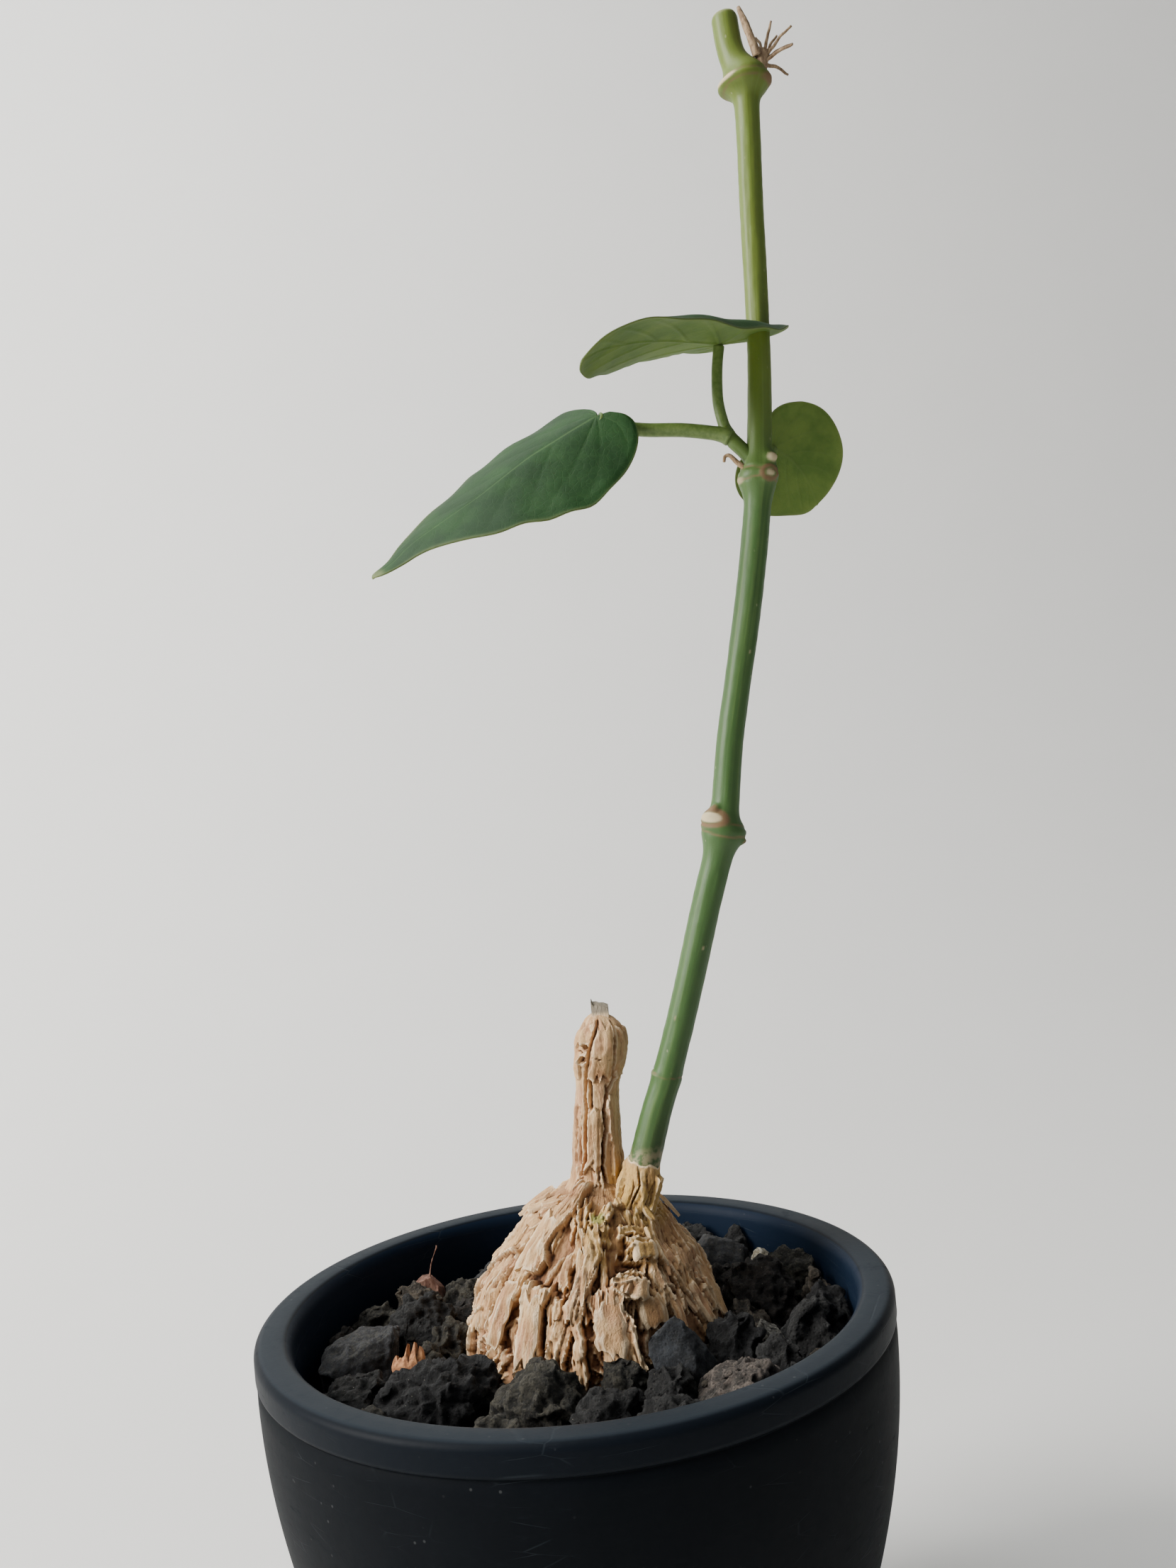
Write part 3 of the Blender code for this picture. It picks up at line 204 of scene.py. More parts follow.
STEM_NODES = (
    (127.6, 0.18, 1.2, 1.2), (172.2, 1.35, 3.4, 2.0), (238.0, 1.05, 3.4, 3.0), (313.9, 2.35, 2.1, 3.0),
)
STEM_BUMPS = (
    (171.6, 0.0, 0.55, 1.8, 50.0), (174.4, 205.0, 1.1, 1.4, 40.0), (237.2, 180.0, 0.55, 2.2, 50.0),
    (238.6, -50.0, 0.65, 1.6, 40.0), (241.4, -48.0, 1.0, 1.3, 26.0), (314.2, 180.0, 0.35, 1.6, 40.0),
    (313.2, 0.0, 0.35, 1.2, 40.0),
)
STEM_TOP = 327.77
STEM_COLUMNS = 64
STEM_ROWS = 560
SHOOT_ROUTE = ((48.4, 5.0, 239.8), (46.0, 5.0, 243.1), (43.9, 5.0, 245.6), (42.7, 5.0, 247.9))
SHOOT_RADII = (1.7, 1.35, 1.4, 1.2)
CURL_ROUTE = ((46.0, 4.4, 239.6), (44.4, 4.2, 240.9), (43.1, 4.1, 242.3), (42.2, 4.1, 242.2), (41.9, 4.1, 241.2))

# Half outline of a blade, from the notch to the tip: along the midrib, then across it, as shares
POINTED_BLADE = (
    (-0.055, 0.06), (-0.10, 0.19), (-0.122, 0.35), (-0.112, 0.54), (-0.065, 0.72), (0.02, 0.88),
    (0.13, 0.975), (0.245, 0.97), (0.355, 0.865), (0.465, 0.71), (0.575, 0.61), (0.69, 0.45), (0.80, 0.265),
    (0.90, 0.145), (0.972, 0.085), (1.0, 0.0),
)
ROUND_BLADE = (
    (-0.10, 0.06), (-0.20, 0.17), (-0.27, 0.36), (-0.26, 0.58), (-0.17, 0.79), (-0.02, 0.94),
    (0.16, 1.0), (0.34, 0.97), (0.51, 0.86), (0.66, 0.70), (0.79, 0.51), (0.90, 0.30), (0.965, 0.14),
    (1.0, 0.0),
)
# Side veins of a blade: where they leave the midrib and reach the margin, as (along, across) shares
POINTED_VEINS = (
    ((0.0, 0.0), (-0.06, 0.25), (-0.07, 0.5)), ((0.0, 0.0), (0.03, 0.35), (0.10, 0.72), (0.22, 0.90)),
    ((0.0, 0.0), (0.08, 0.22), (0.20, 0.50), (0.36, 0.74)), ((0.17, 0.0), (0.27, 0.24), (0.43, 0.62)),
    ((0.34, 0.0), (0.45, 0.22), (0.60, 0.48)), ((0.52, 0.0), (0.62, 0.16), (0.74, 0.32)),
    ((0.69, 0.0), (0.77, 0.10), (0.86, 0.15)),
)
ROUND_VEINS = (
    ((0.0, 0.0), (-0.11, 0.22), (-0.16, 0.52)), ((0.0, 0.0), (0.0, 0.38), (0.10, 0.82)),
    ((0.0, 0.0), (0.12, 0.26), (0.36, 0.76)), ((0.22, 0.0), (0.38, 0.28), (0.60, 0.62)),
    ((0.44, 0.0), (0.58, 0.22), (0.76, 0.42)), ((0.66, 0.0), (0.77, 0.13), (0.88, 0.24)),
)
FOLD_SOFTNESS = 1.3
BLADE_WAVE = 0.35
BLADE_THICKNESS = 0.62
BLADE_RINGS = 64
BLADE_EDGE_POINTS = 181
LEAVES = {
    "leaf_lower": {
        "outline": POINTED_BLADE, "veins": POINTED_VEINS, "top_side": 1,
        "midrib": ((18.8, 4.0, 252.0), (5.6, 3.0, 245.0), (-4.2, 1.5, 238.2), (-16.6, 1.0, 230.8),
                   (-21.4, 0.5, 226.9), (-25.6, 0.0, 224.4)),
        "half_width": 17.8,
        "near": ((0.195, -0.27, -0.945), (0.654, -0.60, -0.309)),
        "far": ((-0.531, 0.90, 0.378), (-0.651, 0.84, 0.232)),
        "far_lobe": 0.2, "curl": (-1.0, 1.9),
        "stalk": ((43.6, 5.0, 246.0), (41.6, 5.0, 246.9), (35.0, 5.2, 248.3), (27.4, 5.6, 249.2), (21.6, 5.4, 250.5),
                  (18.9, 4.3, 251.7)),
        "stalk_radius": 1.35,
    },
    "leaf_upper": {
        "outline": ROUND_BLADE, "veins": ROUND_VEINS, "top_side": 1,
        "midrib": ((43.2, 4.6, 264.2), (33.7, -3.0, 262.6), (26.8, -9.0, 260.6), (20.1, -15.0, 257.5),
                   (16.2, -19.5, 254.0)),
        "half_width": 14.0,
        "near": ((0.68, -0.72, 0.13), (0.30, -0.94, 0.15)),
        "far": ((-0.70, 0.71, 0.15), (-0.60, 0.70, -0.62)),
        "far_lobe": 0.5, "curl": (4.6, -1.2),
        "stalk": ((43.4, 5.0, 246.4), (42.65, 5.0, 248.6), (42.0, 5.0, 253.0), (42.3, 5.0, 258.5), (43.1, 4.9, 263.6)),
        "stalk_radius": 1.1,
    },
    "leaf_rear": {
        "outline": ROUND_BLADE, "veins": ROUND_VEINS, "top_side": -1,
        "midrib": ((52.6, 11.5, 245.3), (56.6, 15.0, 243.6), (60.2, 18.4, 240.0), (62.2, 21.0, 235.6)),
        "half_width": 11.4,
        "near": ((0.60, -0.12, 0.79), (0.92, -0.36, 0.0)),
        "far": ((-0.62, 0.40, -0.68), (-0.16, 0.56, -0.80)),
        "far_lobe": 1.0, "curl": (0.6, 0.8),
        "stalk": ((48.6, 5.6, 238.2), (49.6, 7.6, 239.2), (51.2, 10.0, 242.0), (52.5, 11.3, 244.9)),
        "stalk_radius": 1.1,
    },
}

# Remains of the flower stalk
STUB_ROUTE = ((54.6, 4.6, 313.5), (56.2, 4.2, 317.0), (56.9, 4.0, 319.6))
STUB_RADII = (1.2, 1.5, 1.1)
STRANDS = (
    ((57.8, 3.4, 321.6), (58.9, 3.2, 324.6)), ((58.6, 4.6, 320.9), (60.0, 5.2, 322.9)),
    ((59.2, 3.2, 320.3), (62.4, 2.4, 322.9)), ((59.8, 4.4, 319.5), (62.9, 4.8, 320.9)),
    ((59.4, 2.8, 318.3), (62.2, 1.8, 318.9)), ((59.4, 5.2, 316.9), (61.6, 6.2, 315.6)),
    ((56.8, 5.4, 321.4), (56.2, 6.4, 323.6)),
)
SHEATH_ROUTE = ((55.6, 3.2, 318.2), (54.4, 2.2, 321.4), (53.4, 2.0, 324.6), (52.7, 2.4, 327.4))

# Rock kinds: base colour, a second colour, how rough the break is, how pitted, how dusty
ROCK_KINDS = {
    "charcoal": ((0.0042, 0.0045, 0.0048), (0.0128, 0.0130, 0.0125), 1.15, 1.0, 0.14),
    "black": ((0.0026, 0.0028, 0.0034), (0.0090, 0.0095, 0.0105), 1.2, 0.8, 0.10),
    "olive": ((0.0165, 0.0158, 0.0118), (0.0500, 0.0445, 0.0300), 1.15, 0.9, 0.28),
    "brown": ((0.0074, 0.0058, 0.0048), (0.0235, 0.0170, 0.0128), 1.15, 1.0, 0.16),
    "tan": ((0.0358, 0.0286, 0.0204), (0.0825, 0.0649, 0.0440), 1.0, 0.9, 0.40),
    "slate": ((0.0121, 0.0132, 0.0160), (0.0275, 0.0292, 0.0330), 0.55, 0.25, 0.55),
    "blue": ((0.0100, 0.0125, 0.0165), (0.0240, 0.0275, 0.0330), 0.4, 0.2, 0.25),
    "pink": ((0.0510, 0.0420, 0.0360), (0.1290, 0.1032, 0.0852), 1.0, 1.0, 0.45),
    "pale": ((0.1125, 0.1065, 0.0938), (0.2325, 0.2213, 0.1913), 0.7, 0.7, 0.40),
    "white": ((0.4760, 0.4590, 0.4080), (0.6120, 0.5950, 0.5440), 0.4, 0.5, 0.20),
    "cream": ((0.4080, 0.3485, 0.2380), (0.5610, 0.5015, 0.3740), 0.5, 0.6, 0.20),
}
ROCK_VOXEL = 0.46
ROCK_FACETS = 9
# Broken slabs with flat faces: the corners of each
ROCK_CORNERS = {
    "stone_blue_20": ((11.4, -16.5, 88.3), (17.2, -14.6, 92.0), (20.4, -15.4, 88.2), (12.2, -18.2, 84.6),
                      (19.6, -19.2, 84.4), (14.0, -10.8, 86.4), (21.0, -10.8, 86.0), (24.6, -12.6, 81.0),
                      (15.2, -19.4, 75.0), (24.0, -17.0, 75.0), (15.0, -11.0, 75.0), (23.6, -10.6, 75.0)),
    "stone_slate_01": ((-45.8, -6.6, 83.6), (-44.9, -2.0, 86.4), (-40.1, 1.6, 88.4), (-33.5, -0.4, 88.8),
                       (-31.9, -4.6, 87.6), (-34.0, -7.0, 86.0), (-40.8, -8.6, 84.2), (-47.6, 4.0, 83.4),
                       (-40.0, 9.6, 84.6), (-33.4, 7.0, 85.6), (-45.8, -4.8, 77.0), (-33.0, -4.4, 77.0),
                       (-46.4, 6.4, 75.0), (-34.6, 6.6, 75.0)),
}
GRIT_SEED = 5
GRIT_TRIES = 2600
GRIT_BELOW = 83.0


# Number work

def smoothstep(value):
    value = np.clip(value, 0.0, 1.0)
    return value * value * (3.0 - 2.0 * value)


def table(rows, where, column):
    return np.interp(where, [row[0] for row in rows], [row[column] for row in rows])


def lattice(cells, salt):
    """A repeatable random number from 0 to 1 for each whole-numbered cell."""
    x, y, z = (cells[..., axis].astype(np.int64) for axis in range(3))
    mixed = (x * 73856093) ^ (y * 19349663) ^ (z * 83492791) ^ (salt * 2654435761)
    mixed = ((mixed ^ (mixed >> 13)) * 1274126177) & 0x7FFFFFFF
    return ((mixed ^ (mixed >> 15)) & 0xFFFF) / 65535.0


def grain(points, size, salt=0):
    """Smooth random relief from -1 to 1; size is one number or one for each axis."""
    place = points / np.array(size)
    cell = np.floor(place)
    part = smoothstep(place - cell)
    total = np.zeros(len(points))
    for corner in itertools.product((0, 1), repeat=3):
        weight = np.prod(np.where(np.array(corner) > 0, part, 1.0 - part), axis=1)
        total += weight * lattice(cell + corner, salt)
    return 2.0 * total - 1.0


def rough(points, size, octaves, salt=0, keep=0.55):
    total = np.zeros(len(points))
    strength = 1.0
    for octave in range(octaves):
        total += strength * grain(points, np.array(size) / 2.0 ** octave, salt + octave)
        strength *= keep
    return total


def cells(points, size, salt=0):
    """Distance to the nearest cell seed and to the second, and that cell's random number and seed."""
    place = points / np.array(size)
    home = np.floor(place)
    first = np.full(len(points), 9.0)
    second = np.full(len(points), 9.0)
    number = np.zeros(len(points))
    seed = np.zeros_like(place)
    for offset in itertools.product((-1, 0, 1), repeat=3):
        cell = home + offset
        middle = cell + np.stack([lattice(cell, salt + axis + 1) for axis in range(3)], axis=1)
        distance = np.linalg.norm(place - middle, axis=1)
        closer = distance < first
        second = np.where(closer, first, np.minimum(second, distance))
        number = np.where(closer, lattice(cell, salt + 9), number)
        seed = np.where(closer[:, None], middle, seed)
        first = np.where(closer, distance, first)
    return first, second, number, place - seed


def smooth_route(points, count):
    """Points spaced along a Catmull-Rom curve through the given ones."""
    knots = np.array(points, dtype=float)
    knots = np.vstack([2 * knots[0] - knots[1], knots, 2 * knots[-1] - knots[-2]])
    fine = []
    for a, b, c, d in zip(knots[:-3], knots[1:-2], knots[2:-1], knots[3:]):
        for step in np.linspace(0.0, 1.0, 24, endpoint=False):
            fine.append(0.5 * (2 * b + (c - a) * step + (2 * a - 5 * b + 4 * c - d) * step ** 2
                               + (3 * b - a - 3 * c + d) * step ** 3))
    fine = np.array(fine + [knots[-2]])
    lengths = np.concatenate([[0.0], np.cumsum(np.linalg.norm(np.diff(fine, axis=0), axis=1))])
    stations = np.linspace(0.0, lengths[-1], count)
    return np.stack([np.interp(stations, lengths, fine[:, axis]) for axis in range(fine.shape[1])], axis=1)


def distance_to_routes(points, routes):
    nearest = np.full(len(points), 1e9)
    for route in routes:
        for start, end in zip(route[:-1], route[1:]):
            along = end - start
            share = np.clip((points - start) @ along / max(along @ along, 1e-12), 0.0, 1.0)
            nearest = np.minimum(nearest, np.linalg.norm(points - start - share[:, None] * along, axis=1))
    return nearest


# Shader work

class Signal:
    """A value that changes over a surface, for use in sums, products and comparisons."""

    def __init__(self, finish, socket):
        self.finish = finish
        self.socket = socket

    def math(self, operation, first, second=0.0):
        return self.finish.node("Math", {"operation": operation}, {0: first, 1: second})

    def __add__(self, other):
        return self.math("ADD", self, other)

    def __radd__(self, other):
        return self.math("ADD", other, self)

    def __sub__(self, other):
        return self.math("SUBTRACT", self, other)

    def __rsub__(self, other):
        return self.math("SUBTRACT", other, self)

    def __mul__(self, other):
        return self.math("MULTIPLY", self, other)

    def __rmul__(self, other):
        return self.math("MULTIPLY", other, self)

    def __truediv__(self, other):
        return self.math("DIVIDE", self, other)

    def __pow__(self, other):
        return self.math("POWER", self, other)

    def __gt__(self, other):
        return self.math("GREATER_THAN", self, other)

    def __lt__(self, other):
        return self.math("LESS_THAN", self, other)

    def limited(self, low=0.0, high=1.0):
        return self.math("MINIMUM", self.math("MAXIMUM", self, low), high)

    def eased(self, low, high):
        """0 below low, 1 above high (or the other way round), smooth between."""
        inputs = {"Value": self, "From Min": low, "From Max": high}
        return self.finish.node("MapRange", {"interpolation_type": "SMOOTHSTEP"}, inputs)


class Finish:
    """One material as it is being made."""

    def __init__(self, name, roughness=0.6, **constants):
        self.material = bpy.data.materials.new(name)
        self.material.use_nodes = True
        self.tree = self.material.node_tree
        self.shader = self.tree.nodes["Principled BSDF"]
        self.shader.inputs["Roughness"].default_value = roughness
        for socket, value in constants.items():
            self.shader.inputs[socket.replace("_", " ")].default_value = value
        self.place = self.millimetres()

    def node(self, kind, settings=None, inputs=None, output=0):
        """One node: its settings first, then the values or links of its sockets."""
        node = self.tree.nodes.new("ShaderNode" + kind)
        for name, value in (settings or {}).items():
            if name == "stops":
                ramp = node.color_ramp
                while len(ramp.elements) < len(value):
                    ramp.elements.new(0.5)
                for element, (position, colour) in zip(ramp.elements, value):
                    element.position = position
                    element.color = (*colour, 1.0)
            else:
                setattr(node, name, value)
        for socket, value in (inputs or {}).items():
            if isinstance(value, Signal):
                self.tree.links.new(value.socket, node.inputs[socket])
            elif isinstance(value, tuple) and len(value) == 3 and node.inputs[socket].type == "RGBA":
                node.inputs[socket].default_value = (*value, 1.0)
            else:
                node.inputs[socket].default_value = value
        return Signal(self, node.outputs[output])

    def millimetres(self):
        place = self.node("TexCoord", output="Object")
        return self.node("VectorMath", {"operation": "SCALE"}, {0: place, "Scale": 1.0 / MM})

    def stretched(self, x, y, z):
        return self.node("VectorMath", {"operation": "MULTIPLY"}, {0: self.place, 1: (x, y, z)})

    def part(self, axis):
        return self.node("SeparateXYZ", None, {0: self.place}, axis)

    def noise(self, size, detail=3.0, roughness=0.55, place=None, distortion=0.0):
        inputs = {"Vector": place or self.place, "Scale": 1.0 / size, "Detail": detail,
                  "Roughness": roughness, "Distortion": distortion}
        return self.node("TexNoise", None, inputs, "Fac")

    def cracks(self, size, place=None, randomness=1.0):
        inputs = {"Vector": place or self.place, "Scale": 1.0 / size, "Randomness": randomness}
        return self.node("TexVoronoi", {"feature": "DISTANCE_TO_EDGE"}, inputs, "Distance")

    def spots(self, size, place=None):
        inputs = {"Vector": place or self.place, "Scale": 1.0 / size}
        return self.node("TexVoronoi", {"feature": "F1"}, inputs, "Distance")

    def near(self, point, radius, softness=0.5):
        """1 within a radius of a point, fading out over the softness."""
        distance = self.node("VectorMath", {"operation": "DISTANCE"}, {0: self.place, 1: point}, "Value")
        return distance.eased(radius + softness, radius)

    def attribute(self, name):
        return self.node("Attribute", {"attribute_name": name}, None, "Fac")

    def upward(self):
        normal = self.node("NewGeometry", output="Normal")
        return self.node("SeparateXYZ", None, {0: normal}, 2)

    def mix(self, mask, first, second):
        return self.node("Mix", {"data_type": "RGBA"}, {0: mask, 6: first, 7: second}, 2)

    def wear(self, **signals):
        """Feeds the shader's varying sockets; height in millimetres goes through a Bump node."""
        for name, signal in signals.items():
            if name == "height":
                bump = self.node("Bump", None, {"Strength": 1.0, "Distance": MM, "Height": signal}, "Normal")
                self.tree.links.new(bump.socket, self.shader.inputs["Normal"])
            else:
                self.tree.links.new(signal.socket, self.shader.inputs[name.replace("_", " ")])
        return self.material


def pot_finish():
    finish = Finish("navy_pot", 0.5, Specular_IOR_Level=0.06)
    height = finish.part(2)
    x, y = finish.part(0), finish.part(1)
    radius = (x * x + y * y) ** 0.5
    band = height.eased(POT_HEIGHT - RIM_BAND - 0.15, POT_HEIGHT - RIM_BAND + 0.15)
    lip = height.eased(POT_HEIGHT - 0.30, POT_HEIGHT - 0.02) * radius.eased(50.9, 51.4)
    inside = radius.eased(51.2, 50.9) * height.eased(66.0, 68.0)
    cloud = finish.noise(9.0, 4.0)
    body = finish.mix(cloud, (0.0012, 0.0022, 0.0036), (0.0028, 0.0042, 0.0062))
    # Painted sheen: the rim band is coloured lighter than the body, as if catching the light; its lower roughness
    # further down is real.
    body = finish.mix(band, body, (0.0036, 0.0056, 0.0088))
    # Painted light: the flat top of the lip is coloured lighter, as if lit from above.
    body = finish.mix(lip * 0.8, body, (0.016, 0.022, 0.029))
    body = finish.mix(inside, body, (0.0040, 0.0095, 0.021))
    along = finish.stretched(0.5, 0.5, 2.4)
    dust = finish.noise(2.6, 6.0, 0.7, along).eased(0.56, 0.80)
    scratches = finish.cracks(5.5, finish.stretched(0.35, 0.35, 1.7)).eased(0.018, 0.0)
    scratches = scratches * finish.noise(11.0, 2.0).eased(0.5, 0.66)
    colour = finish.mix(dust * 0.11 + scratches * 0.26, body, (0.036, 0.046, 0.054))
    specks = finish.spots(2.3).eased(0.13, 0.05) * finish.noise(14.0, 1.0).eased(0.52, 0.62)
    colour = finish.mix(specks * 0.30, colour, (0.10, 0.105, 0.105))
    gloss = 0.60 - band * 0.12 + dust * 0.22 + finish.noise(1.2, 3.0) * 0.06
    relief = finish.noise(0.5, 2.0) * 0.012 + finish.noise(6.0, 2.0) * 0.05 - scratches * 0.03
    return finish.wear(Base_Color=colour, Roughness=gloss, height=relief)


def mix_finish():
    finish = Finish("dark_potting_mix", 0.95)
    crumbs = finish.spots(1.7)
    colour = finish.mix(crumbs.eased(0.2, 0.8), (0.030, 0.022, 0.016), (0.010, 0.008, 0.007))
    colour = finish.mix(finish.noise(0.8, 2.0).eased(0.60, 0.72) * 0.5, colour, (0.09, 0.065, 0.042))
    return finish.wear(Base_Color=colour, height=crumbs * 0.9 + finish.noise(0.6, 3.0) * 0.4)


def rock_finish(kind):
    dark, light, break_roughness, pitting, dust = ROCK_KINDS[kind]
    finish = Finish("lava_" + kind, 0.9)
    cavity = finish.attribute("cavity")
    cloud = finish.noise(3.2, 5.0, 0.62)
    colour = finish.mix(cloud.eased(0.42, 0.66), tuple(0.6 * c for c in dark), light)
    pits = finish.spots(0.72).eased(0.42, 0.10) * pitting
    colour = finish.mix(pits * 0.65, colour, tuple(0.35 * c for c in dark))
    # Painted shade: the hollows of the rock are darkened.
    colour = finish.mix(cavity.eased(0.46, 0.28) * 0.80, colour, tuple(0.25 * c for c in dark))
    settled = finish.upward().eased(0.1, 0.9) * finish.noise(0.9, 5.0, 0.7).eased(0.42, 0.62) * dust
    colour = finish.mix(settled * 0.75, colour, (0.070, 0.064, 0.050))
    # Painted highlight: the ridges are lightened in patches.
    edge = cavity.eased(0.56, 0.74) * finish.noise(0.6, 2.0).eased(0.35, 0.6)
    colour = finish.mix(edge * 0.45, colour, tuple(min(0.8, 1.9 * c + 0.02) for c in light))
    speckle = finish.noise(0.42, 3.0, 0.7)
    colour = finish.mix(speckle.eased(0.55, 0.68) * 0.45, colour, tuple(min(0.8, 1.6 * c + 0.012) for c in light))
    colour = finish.mix(speckle.eased(0.46, 0.34) * 0.60, colour, tuple(0.35 * c for c in dark))
    fleck = finish.spots(0.9).eased(0.09, 0.04) * finish.noise(2.2, 1.0).eased(0.5, 0.62)
    colour = finish.mix(fleck * 0.7, colour, (0.42, 0.38, 0.30))
    relief = finish.noise(0.55, 6.0, 0.75) * (0.95 * break_roughness) - pits * 0.40
    return finish.wear(Base_Color=colour, height=relief)


def cork_finish():
    finish = Finish("flaking_cork", 0.86, Specular_IOR_Level=0.3)
    cavity, hollow = finish.attribute("cavity"), finish.attribute("hollow")
    fibre, cover = finish.attribute("fibre"), finish.attribute("cover")
    height = finish.part(2)
    cloud = finish.noise(5.0, 4.0)
    colour = finish.mix(cloud.eased(0.36, 0.64), (0.50, 0.282, 0.132), (0.64, 0.412, 0.206))
    blush = finish.noise(3.6, 3.0, 0.6, finish.stretched(1.0, 1.0, 0.45)).eased(0.48, 0.66)
    colour = finish.mix(blush * 0.55, colour, (0.52, 0.275, 0.165))
    straw = finish.near((9.5, -6.0, 103.5), 5.5, 5.0) * 0.7 + finish.near((13.2, 4.0, 107.0), 5.0, 3.0) * 0.8
    colour = finish.mix(straw.limited(), colour, (0.56, 0.350, 0.105))
    colour = finish.mix(fibre.eased(0.55, 0.85) * 0.50, colour, (0.80, 0.61, 0.37))
    colour = finish.mix(fibre.eased(0.45, 0.15) * 0.55, colour, (0.29, 0.150, 0.072))
    threads = finish.noise(0.34, 4.0, 0.65, finish.stretched(1.0, 1.0, 0.14))
    colour = finish.mix(threads.eased(0.55, 0.72) * 0.30, colour, (0.82, 0.61, 0.36))
    colour = finish.mix(threads.eased(0.44, 0.30) * 0.50, colour, (0.22, 0.110, 0.052))
    # Painted shade: the ground left open between the planks is darkened.
    painted_shade_between_planks = 1.0 - cover.eased(0.2, 0.8)
    colour = finish.mix(painted_shade_between_planks * 0.66, colour, (0.27, 0.135, 0.066))
    # Painted shade: broad hollows, fine hollows and the deepest crevices are darkened.
    colour = finish.mix(hollow.eased(0.49, 0.24) * 0.80, colour, (0.19, 0.088, 0.043))
    colour = finish.mix(cavity.eased(0.47, 0.25) * 0.65, colour, (0.17, 0.075, 0.036))
    colour = finish.mix(cavity.eased(0.24, 0.04) * 0.85, colour, (0.050, 0.022, 0.011))
    # Painted highlight: the ridges are lightened to cream.
    colour = finish.mix(cavity.eased(0.60, 0.90) * 0.70, colour, (0.88, 0.70, 0.46))
    grime = finish.noise(1.5, 5.0, 0.7).eased(0.60, 0.76) * finish.noise(9.0, 2.0).eased(0.42, 0.60)
    colour = finish.mix(grime * 0.35, colour, (0.24, 0.135, 0.070))
    foot = height.eased(82.0, 75.0) * finish.noise(2.0, 3.0).eased(0.35, 0.65)
    colour = finish.mix(foot * 0.5, colour, (0.17, 0.100, 0.055))
    # Painted shade: the stump's right-hand lobe is darkened.
    painted_shade_lobe = finish.near((12.6, 6.5, 133.0), 2.4, 1.6) * 0.35
    colour = finish.mix(painted_shade_lobe, colour, (0.36, 0.230, 0.140))
    # Painted shade inside the scar hole.
    hole = finish.near((5.6, 4.5, 134.0), 0.45, 0.35)
    colour = finish.mix(hole * 0.8, colour, (0.20, 0.075, 0.025))
    peg = height.eased(139.3, 140.3)
    colour = finish.mix(peg * 0.9, colour, (0.25, 0.222, 0.175))
    band = finish.near((15.0, 4.0, 114.0), 2.6, 1.5)
    band = band * finish.noise(0.9, 3.0).eased(0.36, 0.56)
    colour = finish.mix(band * 0.7, colour, (0.36, 0.335, 0.235))
    moss = finish.near((5.4, -4.0, 105.2), 0.9, 0.9) + finish.near((9.6, 0.2, 113.5), 0.7, 0.8)
    colour = finish.mix(moss.limited() * 0.7, colour, (0.20, 0.25, 0.05))
    relief = threads * 0.30 + finish.noise(0.30, 3.0, 0.65) * 0.12
    return finish.wear(Base_Color=colour, height=relief)


def stem_finish():
    finish = Finish("green_stem", 0.48, Specular_IOR_Level=0.38, Subsurface_Weight=0.08,
                    Subsurface_Scale=0.002)
    height = finish.part(2)
    upper = height.eased(228.0, 262.0)
    colour = finish.mix(upper, (0.048, 0.108, 0.026), (0.108, 0.152, 0.019))
    streaks = finish.attribute("streak")
    colour = finish.mix(streaks.eased(0.50, 0.85) * 0.35, colour, (0.14, 0.225, 0.060))
    colour = finish.mix(streaks.eased(0.50, 0.15) * 0.30, colour, (0.032, 0.075, 0.020))
    colour = finish.mix(height.eased(124.0, 114.5) * 0.50, colour, (0.050, 0.085, 0.028))
    sleeve = finish.noise(1.3, 3.0).eased(0.38, 0.60) * height.eased(116.2, 113.6)
    colour = finish.mix(sleeve * 0.8, colour, (0.30, 0.265, 0.150))
    scar = finish.attribute("scar")
    colour = finish.mix(scar.eased(0.05, 0.7), colour, (0.52, 0.44, 0.27))
    brown = finish.attribute("brown")
    colour = finish.mix(brown.eased(0.05, 0.8), colour, (0.17, 0.105, 0.05))
    freckles = finish.spots(1.9, finish.stretched(1.0, 1.0, 0.55)).eased(0.12, 0.05)
    freckles = freckles * finish.noise(6.0, 1.0).eased(0.48, 0.60)
    colour = finish.mix(freckles * 0.45, colour, (0.33, 0.34, 0.19))
    cut = finish.near((50.2, 5.0, 328.4), 1.7, 1.3)
    colour = finish.mix(cut, colour, (0.50, 0.49, 0.27))
    gloss = 0.44 + streaks * 0.12 + scar * 0.3 + brown * 0.25
    relief = streaks * 0.05 + finish.noise(0.35, 3.0) * 0.03
    return finish.wear(Base_Color=colour, Roughness=gloss, height=relief)


